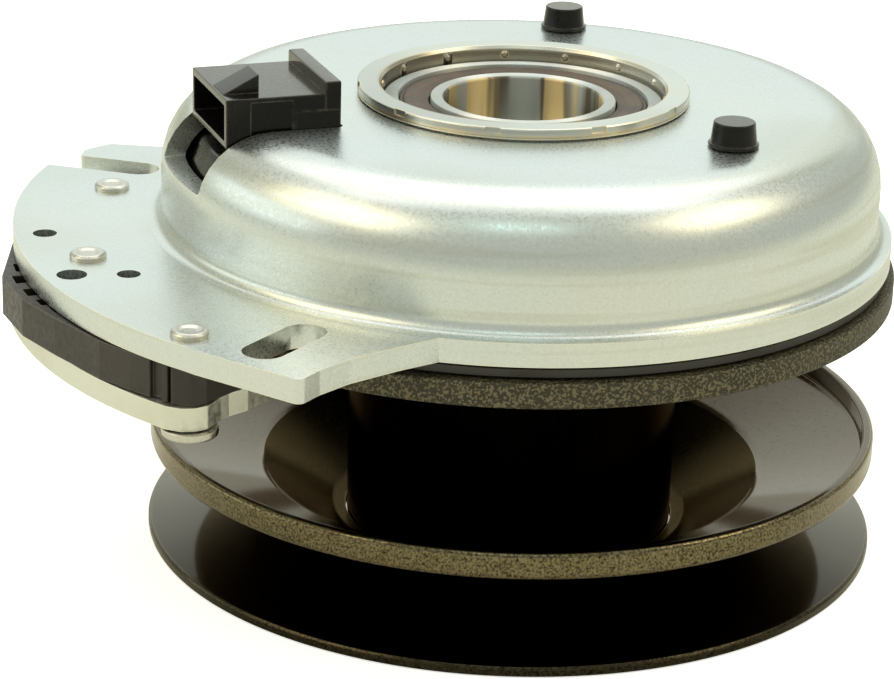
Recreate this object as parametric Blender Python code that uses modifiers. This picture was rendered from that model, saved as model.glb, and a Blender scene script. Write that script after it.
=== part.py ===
"""Electromagnetic clutch with a belt pulley and a permanent-magnet brake.

Frame: metres, +Z up along the shaft axis, z = 0 on the lowest rim of the pulley.
The connector and the brake ear point towards -X. The clutch stands on its pulley.
"""

import math

import bmesh
import bpy

OBJECT_NAME = "electromagnetic_clutch"

# Clearances between separate pieces.
GAP = 0.0003

# Facets round a turned piece.
COARSE = 20
MEDIUM = 36
FINE = 48

# Field shell: a deep-drawn steel cup with a flange and an ear.
SHELL_TOP = 0.1013
SHELL_RADIUS = 0.0795
SHELL_CORNER = 0.016
SHELL_SHEET = 0.0045
SHELL_HOLE = 0.0353
FLANGE_FILLET = 0.0031
PLATE_BOTTOM = 0.0685
PLATE_TOP = 0.0737
FLANGE_RADIUS = 0.0828
EAR_RADIUS = 0.112

# Inner pole: the tube that carries the field bearing.
POLE_TOP = 0.104
POLE_HEAD_BOTTOM = SHELL_TOP + GAP
POLE_RADIUS = 0.0366
POLE_NECK = 0.035
POLE_BOTTOM = 0.076
POLE_BORE = 0.0285

# Both ball bearings are 35 x 62 x 14 mm.
BEARING_BORE = 0.0175
BEARING_RADIUS = 0.031
BEARING_WIDTH = 0.014
INNER_RACE = 0.0204
OUTER_RACE = 0.0276
BALL_PITCH = 0.024
BALL_RADIUS = 0.0032
BALL_COUNT = 9
SEAT_RADIUS = 0.03125
FIELD_BEARING_BOTTOM = 0.0866
PULLEY_BEARING_BOTTOM = 0.008

# Coil: a moulded trough, open below, and the winding inside it.
HOUSING_TOP = 0.0964
HOUSING_BOTTOM = 0.0749
HOUSING_INNER = 0.037
HOUSING_OUTER = 0.0746
HOUSING_WALL = 0.0024

# Connector, along its own axis (length outward from the shaft, width across it).
CONNECTOR_ANGLE = math.radians(200.2)
CONNECTOR_MOUTH = 0.0716
CONNECTOR_BACK = 0.0497
CONNECTOR_HALF_WIDTH = 0.0136
CONNECTOR_BOTTOM = 0.0979
CONNECTOR_TOP = 0.1086
CONNECTOR_WALL = 0.0014
BACK_WALL_TOP = 0.1112
WINDOW_HALF_WIDTH = 0.0142
WINDOW_SILL = 0.0886
WINDOW_INNER_END = 0.046
PEGS = ((0.056, math.radians(-39)), (0.060, math.radians(80)))
PEG_HOLE = 0.0046

# Rotor.
ROTOR_FACE = 0.066
ROTOR_WEB_TOP = 0.0704
ROTOR_RADIUS = 0.082
ROTOR_BORE = 0.026
HUB_TOP = 0.0905
HUB_BOTTOM = 0.0036
HUB_RADIUS = 0.0172
SHAFT_RADIUS = 0.0142875
KEY_WIDTH = 0.00635
KEY_TOP = 0.0164

# Armature.
ARMATURE_RADIUS = 0.084
ARMATURE_HOLE = 0.040
ARMATURE_BOTTOM = 0.060
ARMATURE_TOP = 0.0654
ARMATURE_RIVET_CIRCLE = 0.062

# Pulley: a tube with a flange on top and two pressed cones.
DRUM_RADIUS = 0.0373
DRUM_BOTTOM = 0.002
DRUM_FLANGE_RADIUS = 0.050
DRUM_FLANGE_TOP = 0.0562
DRUM_FLANGE_BOTTOM = 0.0532
UPPER_RIM_RADIUS = 0.0823
LOWER_RIM_RADIUS = 0.0829
SHEET = 0.0023
CONE_SLOPE = math.tan(math.radians(17.5))
BOWL_EDGE = (0.057, 0.016)
BOWL_SLOPE = 0.769
FOOT_TOP = 0.0032

# Leaf springs between the drum's flange and the armature.
SPRING_COUNT = 3
SPRING_BOTTOM = DRUM_FLANGE_TOP + GAP
SPRING_THICKNESS = 0.0008
SPRING_WIDTH = 0.013
SPRING_RIVET_CIRCLE = 0.044
SPRING_SWEEP = math.radians(64)
SPRING_START = math.radians(15)

# Brake: a steel plate and a magnet holder riveted under the ear.
BRAKE_PLATE_BOTTOM = 0.0547
BRAKE_PLATE_TOP = 0.0597
HOLDER_BOTTOM = BRAKE_PLATE_TOP + GAP
HOLDER_TOP = PLATE_BOTTOM - GAP
BRAKE_OUTER = 0.1108
BRAKE_CENTRE = (-0.003, 0.001)
BRAKE_INNER = 0.078
HOLDER_INNER = 0.0865
HOLDER_CELLS = (
    (194.6, 197.3, 0.1128),
    (198.6, 201.1, 0.1142),
    (203.0, 205.3, 0.1139),
    (206.7, 208.6, 0.1132),
    (209.4, 211.3, 0.1123),
)
CELL_INNER = 0.1065
CELL_FLOOR = 0.0615
RIVETS = ((-0.0921, 0.010), (-0.0916, -0.0385), (-0.0660, -0.0836))
RIVET_SHANK = 0.0024
RIVET_HOLE = 0.0027


# ---------------------------------------------------------------- helpers


def clear_scene():
    """Start from an empty scene."""
    for thing in list(bpy.data.objects):
        bpy.data.objects.remove(thing, do_unlink=True)


def new_collection(name, hidden=False):
    """A collection linked to the scene; the cutters' one is hidden from renders."""
    made = bpy.data.collections.new(name)
    bpy.context.scene.collection.children.link(made)
    made.hide_render = hidden
    return made


def material(name, colour, roughness, metallic):
    """A plain Principled material."""
    made = bpy.data.materials.new(name)
    made.use_nodes = True
    shader = made.node_tree.nodes["Principled BSDF"]
    shader.inputs["Base Color"].default_value = (*colour, 1.0)
    shader.inputs["Roughness"].default_value = roughness
    shader.inputs["Metallic"].default_value = metallic
    return made


def finish_part(part, colour, roughness=0.4, metallic=1.0):
    """Give a part its material and smooth shading between sharp edges."""
    part.data.materials.clear()
    part.data.materials.append(material(part.name, colour, roughness, metallic))
    part.data.shade_smooth()
    part.data.set_sharp_from_angle(angle=math.radians(35))
    return part


def as_cutter(thing):
    """Hide a helper from renders and draw it as wires."""
    thing.hide_render = True
    thing.display_type = "WIRE"
    return thing


def polar(radius, angle):
    """A point on a circle round the shaft."""
    return (radius * math.cos(angle), radius * math.sin(angle))


def arc(centre, radius, start, end, count):
    """Points along an arc; angles in degrees."""
    points = []
    for step in range(count + 1):
        angle = math.radians(start + (end - start) * step / count)
        points.append((centre[0] + radius * math.cos(angle), centre[1] + radius * math.sin(angle)))
    return points


def turned(name, profile, steps, collection, closed=True):
    """Turn a profile of (radius, height) points round the Z axis."""
    mesh = bpy.data.meshes.new(name)
    edges = [(i, i + 1) for i in range(len(profile) - 1)]
    if closed:
        edges.append((len(profile) - 1, 0))
    mesh.from_pydata([(r, 0.0, z) for r, z in profile], edges, [])
    part = bpy.data.objects.new(name, mesh)
    collection.objects.link(part)
    screw = part.modifiers.new("turn", "SCREW")
    screw.axis = "Z"
    screw.steps = steps
    screw.render_steps = steps
    screw.use_merge_vertices = True
    screw.merge_threshold = 0.00001
    screw.use_smooth_shade = True
    return part


def tube(name, inner, outer, bottom, top, steps, collection, chamfer=0.0):
    """A plain ring, with a small chamfer on its two outer edges if asked for."""
    if chamfer:
        profile = [
            (outer - chamfer, top),
            (outer, top - chamfer),
            (outer, bottom + chamfer),
            (outer - chamfer, bottom),
            (inner, bottom),
            (inner, top),
        ]
    else:
        profile = [(outer, top), (outer, bottom), (inner, bottom), (inner, top)]
    return turned(name, profile, steps, collection)


def prism(name, outlines, bottom, top, collection):
    """Extrude flat outlines; the first is the edge and the others are holes."""
    curve = bpy.data.curves.new(name, "CURVE")
    curve.dimensions = "2D"
    curve.fill_mode = "BOTH"
    curve.extrude = (top - bottom) / 2
    for outline in outlines:
        spline = curve.splines.new("POLY")
        spline.points.add(len(outline) - 1)
        for point, (x, y) in zip(spline.points, outline):
            point.co = (x, y, 0.0, 1.0)
        spline.use_cyclic_u = True
    guide = bpy.data.objects.new(name + "_outline", curve)
    guide.location.z = (bottom + top) / 2
    bpy.context.scene.collection.objects.link(guide)
    bpy.context.view_layer.update()
    graph = bpy.context.evaluated_depsgraph_get()
    mesh = bpy.data.meshes.new_from_object(guide.evaluated_get(graph))
    mesh.name = name
    solid = bmesh.new()
    solid.from_mesh(mesh)
    bmesh.ops.remove_doubles(solid, verts=solid.verts, dist=0.000001)
    bmesh.ops.recalc_face_normals(solid, faces=solid.faces)
    solid.to_mesh(mesh)
    solid.free()
    part = bpy.data.objects.new(name, mesh)
    part.matrix_world = guide.matrix_world.copy()
    collection.objects.link(part)
    bpy.data.objects.remove(guide, do_unlink=True)
    return part


def block(name, low, high, collection, angle=0.0):
    """A box between two corners, turned round the shaft axis by an angle."""
    mesh = bpy.data.meshes.new(name)
    solid = bmesh.new()
    bmesh.ops.create_cube(solid, size=1.0)
    size = [b - a for a, b in zip(low, high)]
    middle = [(a + b) / 2 for a, b in zip(low, high)]
    bmesh.ops.scale(solid, vec=size, verts=solid.verts)
    bmesh.ops.translate(solid, vec=middle, verts=solid.verts)
    solid.to_mesh(mesh)
    solid.free()
    part = bpy.data.objects.new(name, mesh)
    part.rotation_euler.z = angle
    collection.objects.link(part)
    return part


def combine(part, other, operation):
    """Cut a helper from a part, or join it to the part."""
    as_cutter(other)
    boolean = part.modifiers.new(other.name, "BOOLEAN")
    boolean.operation = operation
    boolean.solver = "EXACT"
    boolean.object = other


def circle(centre, radius, count=16):
    """A closed round outline."""
    return arc(centre, radius, 0.0, 360.0 - 360.0 / count, count - 1)


def stadium(start, end, half_width, count=8):
    """The outline of a strip with round ends, such as a slot."""
    heading = math.degrees(math.atan2(end[1] - start[1], end[0] - start[0]))
    first = arc(start, half_width, heading + 90.0, heading + 270.0, count)
    second = arc(end, half_width, heading - 90.0, heading + 90.0, count)
    return first + second


def curved_slot(name, radius, half_width, start, end, bottom, top, collection):
    """A banana-shaped cutter along an arc round the shaft; angles in degrees."""
    outer = arc((0.0, 0.0), radius + half_width, start, end, 5)
    inner = arc((0.0, 0.0), radius - half_width, end, start, 5)
    return prism(name, [outer + inner], bottom, top, collection)


# ---------------------------------------------------------------- field


def ear_outline():
    """The flange ring with the brake ear, its front corner and its open back slot."""
    ring = arc((0.0, 0.0), FLANGE_RADIUS, -101.6, 149.0, 40)
    finger = [(-0.0839, 0.0432), (-0.0966, 0.0444), (-0.1019, 0.0389)]
    slot_angle = math.radians(163.9)
    slot_half = 0.0045
    along = (math.cos(slot_angle), math.sin(slot_angle))
    side = (-along[1], along[0])
    bottom = (along[0] * 0.091, along[1] * 0.091)
    mouth_back = (along[0] * 0.1078 - side[0] * slot_half, along[1] * 0.1078 - side[1] * slot_half)
    heading = math.degrees(slot_angle)
    slot = [mouth_back] + arc(bottom, slot_half, heading + 270.0, heading + 90.0, 8)
    outer = arc((0.0, 0.0), EAR_RADIUS, 166.3, 234.5, 22)
    front = [(-0.0429, -0.1065), (-0.0394, -0.1009), (-0.0339, -0.0945), (-0.0244, -0.0866)]
    return ring + finger + slot + outer + front


def build_field_shell(parts, tools):
    """The drawn cup, joined to its flange and ear, with its openings."""
    wall_centre = (SHELL_RADIUS - SHELL_CORNER, SHELL_TOP - SHELL_CORNER)
    inside = SHELL_RADIUS - SHELL_SHEET
    outer_corner = arc(wall_centre, SHELL_CORNER, 90.0, 0.0, 6)
    fillet_centre = (SHELL_RADIUS + FLANGE_FILLET, PLATE_TOP + FLANGE_FILLET + 0.0003)
    fillet = arc(fillet_centre, FLANGE_FILLET, 180.0, 262.0, 3)
    inner_corner = arc(wall_centre, SHELL_CORNER - SHELL_SHEET, 0.0, 90.0, 3)
    profile = (
        [(SHELL_HOLE, SHELL_TOP)]
        + outer_corner
        + fillet
        + [(fillet[-1][0], PLATE_BOTTOM + 0.002), (inside, PLATE_BOTTOM + 0.002)]
        + inner_corner
        + [(SHELL_HOLE, SHELL_TOP - SHELL_SHEET)]
    )
    shell = turned("field_shell", profile, FINE, parts)
    slot = stadium((-0.0507, -0.0912), (-0.0435, -0.0798), 0.0045)
    holes = [circle((0.0, 0.0), inside - 0.0004, FINE), slot]
    holes += [circle(place, RIVET_HOLE, 12) for place in RIVETS]
    holes += [circle((-0.1028, -0.0234), 0.0026, 12), circle((-0.0936, -0.0498), 0.0032, 12)]
    holes += [circle((-0.0819, -0.0484), 0.0025, 12)]
    plate = prism("shell_plate", [ear_outline()] + holes, PLATE_BOTTOM, PLATE_TOP, tools)
    combine(shell, plate, "UNION")
    window = block(
        "window_cutter",
        (WINDOW_INNER_END, -WINDOW_HALF_WIDTH, WINDOW_SILL),
        (0.095, WINDOW_HALF_WIDTH, 0.12),
        tools,
        CONNECTOR_ANGLE,
    )
    combine(shell, window, "DIFFERENCE")
    for number, (radius, angle) in enumerate(PEGS, 1):
        hole = prism(f"peg_hole_{number}", [circle(polar(radius, angle), PEG_HOLE)], 0.09, 0.11, tools)
        combine(shell, hole, "DIFFERENCE")
    finish_part(shell, (0.62, 0.64, 0.60), 0.3)


def build_inner_pole(parts):
    """The bored tube with a neck through the shell and a swaged head above it."""
    shoulder = FIELD_BEARING_BOTTOM - GAP
    under_shell = SHELL_TOP - SHELL_SHEET - GAP
    profile = [
        (0.0361, POLE_TOP),
        (POLE_RADIUS, POLE_TOP - 0.0006),
        (POLE_RADIUS, POLE_HEAD_BOTTOM),
        (POLE_NECK, POLE_HEAD_BOTTOM),
        (POLE_NECK, under_shell),
        (POLE_RADIUS, under_shell),
        (POLE_RADIUS, POLE_BOTTOM),
        (POLE_BORE, POLE_BOTTOM),
        (POLE_BORE, shoulder),
        (SEAT_RADIUS, shoulder),
        (SEAT_RADIUS, POLE_TOP - 0.0008),
        (SEAT_RADIUS + 0.0008, POLE_TOP),
    ]
    finish_part(turned("inner_pole", profile, MEDIUM, parts), (0.66, 0.62, 0.55), 0.25)


def build_coil_housing(parts, tools):
    """The moulding round the coil, with its pegs and the connector socket on top."""
    cavity_top = HOUSING_TOP - HOUSING_WALL
    inner_wall = HOUSING_INNER + 0.0025
    profile = [
        (0.063, HOUSING_TOP),
        (0.0712, 0.0931),
        (HOUSING_OUTER, 0.0853),
        (HOUSING_OUTER, HOUSING_BOTTOM),
        (0.0726, HOUSING_BOTTOM),
        (0.0726, 0.085),
        (0.0698, 0.0916),
        (0.0625, cavity_top),
        (inner_wall, cavity_top),
        (inner_wall, HOUSING_BOTTOM),
        (HOUSING_INNER, HOUSING_BOTTOM),
        (HOUSING_INNER, HOUSING_TOP),
    ]
    housing = turned("coil_housing", profile, MEDIUM, parts)
    wide = CONNECTOR_HALF_WIDTH
    blocks = {
        "pedestal": ((0.048, -0.0125, 0.0946), (0.0635, 0.0125, CONNECTOR_BOTTOM + 0.001)),
        "socket": ((CONNECTOR_BACK, -wide, CONNECTOR_BOTTOM), (CONNECTOR_MOUTH, wide, CONNECTOR_TOP)),
        "back_wall": ((0.0464, -0.0138, CONNECTOR_BOTTOM), (CONNECTOR_BACK + 0.0003, 0.0138, BACK_WALL_TOP)),
        "side_pads": ((0.0466, -0.014, 0.1002), (0.0565, 0.014, 0.1052)),
    }
    for name, (low, high) in blocks.items():
        combine(housing, block(name, low, high, tools, CONNECTOR_ANGLE), "UNION")
    combine(housing, build_latch(tools), "UNION")
    for number, (radius, angle) in enumerate(PEGS, 1):
        combine(housing, build_peg(number, radius, angle, tools), "UNION")
    inner = wide - CONNECTOR_WALL
    cavity = block(
        "socket_cavity",
        (0.0535, -inner, CONNECTOR_BOTTOM + CONNECTOR_WALL),
        (0.080, inner, CONNECTOR_TOP - CONNECTOR_WALL),
        tools,
        CONNECTOR_ANGLE,
    )
    combine(housing, cavity, "DIFFERENCE")
    for number, across in enumerate((-0.006, 0.006), 1):
        slot = block(
            f"terminal_slot_{number}",
            (0.0507, across - 0.0035, 0.1025),
            (0.060, across + 0.0035, 0.1039),
            tools,
            CONNECTOR_ANGLE,
        )
        combine(housing, slot, "DIFFERENCE")
    finish_part(housing, (0.02, 0.02, 0.02), 0.25, 0.0)


def build_latch(tools):
    """The ramp on the socket's roof that the plug's latch snaps over."""
    ramp = block("latch_ramp", (0.0633, 0.0015, 0.1076), (0.0712, 0.0095, 0.1126), tools, CONNECTOR_ANGLE)
    for vertex in ramp.data.vertices:
        if vertex.co.x > 0.07 and vertex.co.z > 0.11:
            vertex.co.z = CONNECTOR_TOP + 0.0001
    return ramp


def build_peg(number, radius, angle, tools):
    """A tapered peg with a thin lip, standing on the shell's top."""
    lip_bottom = SHELL_TOP + GAP
    profile = [
        (0.0, 0.1068),
        (0.0041, 0.1068),
        (0.0045, 0.1064),
        (0.0050, lip_bottom + 0.0008),
        (0.0054, lip_bottom + 0.0007),
        (0.0054, lip_bottom),
        (0.0042, lip_bottom),
        (0.0042, 0.0945),
        (0.0, 0.0945),
    ]
    peg = turned(f"peg_{number}", profile, 20, tools, closed=False)
    x, y = polar(radius, angle)
    peg.location = (x, y, 0.0)
    return peg


def build_coil_winding(parts):
    """The copper winding, a ring that fills the moulded trough."""
    inner = HOUSING_INNER + 0.0025 + GAP
    top = HOUSING_TOP - HOUSING_WALL - GAP
    profile = [
        (0.0623, top),
        (0.0695, 0.0913),
        (0.0722, 0.0848),
        (0.0722, 0.0765),
        (inner, 0.0765),
        (inner, top),
    ]
    finish_part(turned("coil_winding", profile, MEDIUM, parts), (0.65, 0.28, 0.12), 0.35)


def build_terminals(parts):
    """Two flat blades inside the socket."""
    for number, across in enumerate((-0.006, 0.006), 1):
        blade = block(
            f"connector_terminal_{number}",
            (0.051, across - 0.00315, 0.1028),
            (0.0655, across + 0.00315, 0.1036),
            parts,
            CONNECTOR_ANGLE,
        )
        finish_part(blade, (0.75, 0.6, 0.35), 0.3)


# ---------------------------------------------------------------- bearings


def build_bearing(prefix, bottom, parts, tools):
    """Outer race, inner race, two seals, and the balls joined by their cage."""
    top = bottom + BEARING_WIDTH
    bright = (0.62, 0.6, 0.56)
    outer = tube(prefix + "_outer_race", OUTER_RACE, BEARING_RADIUS, bottom, top, MEDIUM, parts)
    finish_part(outer, bright, 0.2)
    inner = tube(prefix + "_inner_race", BEARING_BORE, INNER_RACE, bottom, top, MEDIUM, parts)
    finish_part(inner, bright, 0.2)
    seal_inner = INNER_RACE + 0.0004
    seal_outer = OUTER_RACE - 0.0004
    for side, low in (("lower", bottom + 0.0005), ("upper", top - 0.0015)):
        seal = tube(f"{prefix}_{side}_seal", seal_inner, seal_outer, low, low + 0.001, COARSE, parts)
        finish_part(seal, (0.2, 0.15, 0.1), 0.5, 0.0)
    middle = (bottom + top) / 2
    balls = tube(prefix + "_balls", 0.0231, 0.0249, middle - 0.0011, middle + 0.0011, COARSE, parts)
    for number in range(BALL_COUNT):
        ball = build_ball(f"{prefix}_ball_{number + 1}", number, middle, tools)
        combine(balls, ball, "UNION")
    finish_part(balls, (0.7, 0.7, 0.7), 0.15)


def build_ball(name, number, height, tools):
    """One rolling ball on the pitch circle."""
    mesh = bpy.data.meshes.new(name)
    solid = bmesh.new()
    bmesh.ops.create_uvsphere(solid, u_segments=8, v_segments=5, radius=BALL_RADIUS)
    solid.to_mesh(mesh)
    solid.free()
    ball = bpy.data.objects.new(name, mesh)
    x, y = polar(BALL_PITCH, math.radians(5 + 360.0 * number / BALL_COUNT))
    ball.location = (x, y, height)
    tools.objects.link(ball)
    return ball


def build_c_ring(name, inner, outer, bottom, top, opening, parts):
    """A retaining ring, open over an angle in degrees."""
    outline = arc((0.0, 0.0), outer, opening / 2, 360.0 - opening / 2, 24)
    outline += arc((0.0, 0.0), inner, 360.0 - opening / 2, opening / 2, 24)
    finish_part(prism(name, [outline], bottom, top, parts), (0.15, 0.15, 0.15), 0.4)


# ---------------------------------------------------------------- rotor


def build_rotor(parts, tools):
    """The disc with two raised pole rings, and the keyed hub through everything."""
    profile = [
        (0.0743, 0.0738),
        (0.0743, 0.0679),
        (ROTOR_RADIUS, 0.0679),
        (ROTOR_RADIUS, ROTOR_FACE),
        (ROTOR_BORE, ROTOR_FACE),
        (ROTOR_BORE, 0.0754),
        (0.0364, 0.0754),
        (0.0364, ROTOR_WEB_TOP),
        (0.0663, ROTOR_WEB_TOP),
        (0.0663, 0.0738),
    ]
    disc = turned("rotor_disc", profile, FINE, parts)
    for number in range(6):
        start = 60.0 * number + 10.0
        slot = curved_slot(f"rotor_slot_{number + 1}", 0.0555, 0.0015, start, start + 40.0, 0.06, 0.08, tools)
        combine(disc, slot, "DIFFERENCE")
    finish_part(disc, (0.2, 0.2, 0.2), 0.5)
    hub_profile = [
        (HUB_RADIUS - 0.0006, HUB_TOP),
        (HUB_RADIUS, HUB_TOP - 0.0006),
        (HUB_RADIUS, FIELD_BEARING_BOTTOM - GAP),
        (0.0200, FIELD_BEARING_BOTTOM - GAP),
        (0.0200, 0.0765),
        (ROTOR_BORE - GAP, 0.0765),
        (ROTOR_BORE - GAP, ROTOR_FACE),
        (HUB_RADIUS, ROTOR_FACE),
        (HUB_RADIUS, 0.0078),
        (0.0156, 0.0078),
        (0.0156, 0.0059),
        (HUB_RADIUS, 0.0059),
        (HUB_RADIUS, HUB_BOTTOM),
        (SHAFT_RADIUS, HUB_BOTTOM),
        (SHAFT_RADIUS, HUB_TOP),
    ]
    hub = turned("rotor_hub", hub_profile, MEDIUM, parts)
    key = block("key_cutter", (-KEY_WIDTH / 2, 0.005, -0.01), (KEY_WIDTH / 2, KEY_TOP, 0.1), tools)
    combine(hub, key, "DIFFERENCE")
    finish_part(hub, (0.45, 0.45, 0.45), 0.3)
    spacer_bottom = PULLEY_BEARING_BOTTOM + BEARING_WIDTH + GAP
    spacer = tube("bearing_spacer", BEARING_BORE, 0.0202, spacer_bottom, ROTOR_FACE - GAP, MEDIUM, parts)
    finish_part(spacer, (0.4, 0.4, 0.4), 0.4)
    build_c_ring("hub_retaining_ring", 0.0159, 0.0190, 0.0061, 0.0076, 60.0, parts)


# ---------------------------------------------------------------- pulley


def cone_height(radius):
    """Height of the upper flange's upper surface on its cone."""
    return BOWL_EDGE[1] + (radius - BOWL_EDGE[0]) * CONE_SLOPE


def bowl_radius(height, drop=0.0):
    """Radius of the bowl's wall at a height, on the surface lowered by a drop."""
    return BOWL_EDGE[0] + (height + drop - BOWL_EDGE[1]) / BOWL_SLOPE


def build_pulley(parts):
    """The drum and the two pressed flanges that form the belt groove."""
    seat_top = PULLEY_BEARING_BOTTOM + BEARING_WIDTH + GAP
    drum_profile = [
        (DRUM_FLANGE_RADIUS, DRUM_FLANGE_TOP),
        (DRUM_FLANGE_RADIUS, DRUM_FLANGE_BOTTOM),
        (0.0390, DRUM_FLANGE_BOTTOM),
        (0.0378, DRUM_FLANGE_BOTTOM - 0.0005),
        (DRUM_RADIUS, DRUM_FLANGE_BOTTOM - 0.0017),
        (DRUM_RADIUS, DRUM_BOTTOM),
        (SEAT_RADIUS, DRUM_BOTTOM),
        (SEAT_RADIUS, 0.0054),
        (0.0329, 0.0054),
        (0.0329, 0.0075),
        (SEAT_RADIUS, 0.0075),
        (SEAT_RADIUS, seat_top),
        (0.0286, seat_top),
        (0.0286, seat_top + 0.003),
        (0.0315, seat_top + 0.003),
        (0.0315, DRUM_FLANGE_TOP),
    ]
    finish_part(turned("pulley_hub", drum_profile, MEDIUM, parts), (0.02, 0.02, 0.02), 0.4, 0.0)
    build_c_ring("pulley_retaining_ring", 0.0288, 0.0326, 0.0057, 0.0072, 36.0, parts)

    cone_drop = SHEET / math.cos(math.atan(CONE_SLOPE))
    bowl_drop = SHEET / math.cos(math.atan(BOWL_SLOPE))
    under_edge = BOWL_EDGE[0] + (bowl_drop - cone_drop) / (BOWL_SLOPE - CONE_SLOPE)
    foot_bottom = FOOT_TOP - SHEET
    upper_profile = [
        (0.0802, 0.0277),
        (0.0819, 0.0277),
        (UPPER_RIM_RADIUS, 0.0273),
        (UPPER_RIM_RADIUS, 0.0236),
        (0.0816, 0.0219),
        (0.0804, cone_height(0.0804) - cone_drop),
        (under_edge, cone_height(under_edge) - cone_drop),
        (bowl_radius(foot_bottom, bowl_drop), foot_bottom),
        (DRUM_RADIUS + GAP, foot_bottom),
        (DRUM_RADIUS + GAP, FOOT_TOP),
        (bowl_radius(FOOT_TOP), FOOT_TOP),
        (bowl_radius(0.0151), 0.0151),
        (0.0570, 0.0159),
        (0.0585, cone_height(0.0585)),
        (0.0786, cone_height(0.0786)),
        (0.0795, 0.0237),
        (0.0799, 0.0249),
        (0.0799, 0.0274),
    ]
    upper = turned("pulley_upper_flange", upper_profile, FINE, parts)
    finish_part(upper, (0.02, 0.02, 0.02), 0.35, 0.0)

    lower_profile = [
        (0.0824, 0.0023),
        (LOWER_RIM_RADIUS, 0.0018),
        (LOWER_RIM_RADIUS, 0.0004),
        (0.0825, 0.0),
        (0.0820, 0.0),
        (0.0529, (0.0820 - 0.0529) * CONE_SLOPE),
        (0.0549, 0.0023 + (0.0824 - 0.0549) * CONE_SLOPE),
    ]
    lower = turned("pulley_lower_flange", lower_profile, FINE, parts)
    finish_part(lower, (0.02, 0.02, 0.02), 0.35, 0.0)


# ---------------------------------------------------------------- armature


def rivet_angles(number):
    """Angles of the drum-side and armature-side rivets of one spring."""
    start = SPRING_START + 2 * math.pi * number / SPRING_COUNT
    return start, start + SPRING_SWEEP


def build_armature(parts, tools):
    """The friction disc, its rivets, and the leaf springs that carry it."""
    profile = [
        (ARMATURE_RADIUS - 0.0006, ARMATURE_TOP),
        (ARMATURE_RADIUS, ARMATURE_TOP - 0.0006),
        (ARMATURE_RADIUS, ARMATURE_BOTTOM + 0.0006),
        (ARMATURE_RADIUS - 0.0006, ARMATURE_BOTTOM),
        (ARMATURE_HOLE, ARMATURE_BOTTOM),
        (ARMATURE_HOLE, ARMATURE_TOP),
    ]
    disc = turned("armature_plate", profile, FINE, parts)
    for number in range(6):
        start = 60.0 * number + 25.0
        name = f"armature_slot_{number + 1}"
        slot = curved_slot(name, 0.072, 0.0015, start, start + 36.0, 0.05, 0.07, tools)
        combine(disc, slot, "DIFFERENCE")
    spring_top = SPRING_BOTTOM + SPRING_THICKNESS
    for number in range(SPRING_COUNT):
        drum_angle, plate_angle = rivet_angles(number)
        drum_place = polar(SPRING_RIVET_CIRCLE, drum_angle)
        plate_place = polar(ARMATURE_RIVET_CIRCLE, plate_angle)
        strip = stadium(drum_place, plate_place, SPRING_WIDTH / 2)
        holes = [circle(drum_place, RIVET_HOLE, 12), circle(plate_place, RIVET_HOLE, 12)]
        name = f"leaf_spring_{number + 1}"
        spring = prism(name, [strip] + holes, SPRING_BOTTOM, spring_top, parts)
        finish_part(spring, (0.4, 0.42, 0.45), 0.3)
        hole = prism(f"plate_hole_{number + 1}", [circle(plate_place, RIVET_HOLE, 12)], 0.055, 0.07, tools)
        combine(disc, hole, "DIFFERENCE")
        recess = prism(f"plate_recess_{number + 1}", [circle(plate_place, 0.0046, 12)], 0.0631, 0.07, tools)
        combine(disc, recess, "DIFFERENCE")
        build_armature_rivet(number + 1, plate_place, spring_top, parts)
        build_spring_rivet(number + 1, drum_place, spring_top, parts)
    finish_part(disc, (0.12, 0.11, 0.1), 0.5)


def build_armature_rivet(number, place, spring_top, parts):
    """A shouldered rivet: the collar keeps the armature off the spring."""
    profile = [
        (0.0, 0.0650),
        (0.0043, 0.0650),
        (0.0043, 0.0634),
        (RIVET_SHANK, 0.0634),
        (RIVET_SHANK, ARMATURE_BOTTOM - GAP),
        (0.0045, ARMATURE_BOTTOM - GAP),
        (0.0045, spring_top + GAP),
        (RIVET_SHANK, spring_top + GAP),
        (RIVET_SHANK, SPRING_BOTTOM - GAP),
        (0.0043, SPRING_BOTTOM - GAP),
        (0.0038, 0.0549),
        (0.0, 0.0549),
    ]
    rivet = turned(f"armature_rivet_{number}", profile, 12, parts, closed=False)
    rivet.location = (*place, 0.0)
    finish_part(rivet, (0.6, 0.6, 0.6), 0.3)


def build_spring_rivet(number, place, spring_top, parts):
    """The rivet that holds a spring on the drum's flange."""
    profile = [
        (0.0, 0.0591),
        (0.0037, 0.0591),
        (0.0042, 0.0586),
        (0.0042, spring_top + GAP),
        (RIVET_SHANK, spring_top + GAP),
        (RIVET_SHANK, DRUM_FLANGE_BOTTOM - GAP),
        (0.0042, DRUM_FLANGE_BOTTOM - GAP),
        (0.0037, 0.0514),
        (0.0, 0.0514),
    ]
    rivet = turned(f"spring_rivet_{number}", profile, 12, parts, closed=False)
    rivet.location = (*place, 0.0)
    finish_part(rivet, (0.6, 0.6, 0.6), 0.3)


def drill_drum(parts, tools):
    """Holes for the spring rivets in the drum's flange."""
    drum = parts.objects["pulley_hub"]
    for number in range(SPRING_COUNT):
        place = polar(SPRING_RIVET_CIRCLE, rivet_angles(number)[0])
        hole = prism(f"drum_hole_{number + 1}", [circle(place, RIVET_HOLE, 12)], 0.05, 0.06, tools)
        combine(drum, hole, "DIFFERENCE")


# ---------------------------------------------------------------- brake


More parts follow.
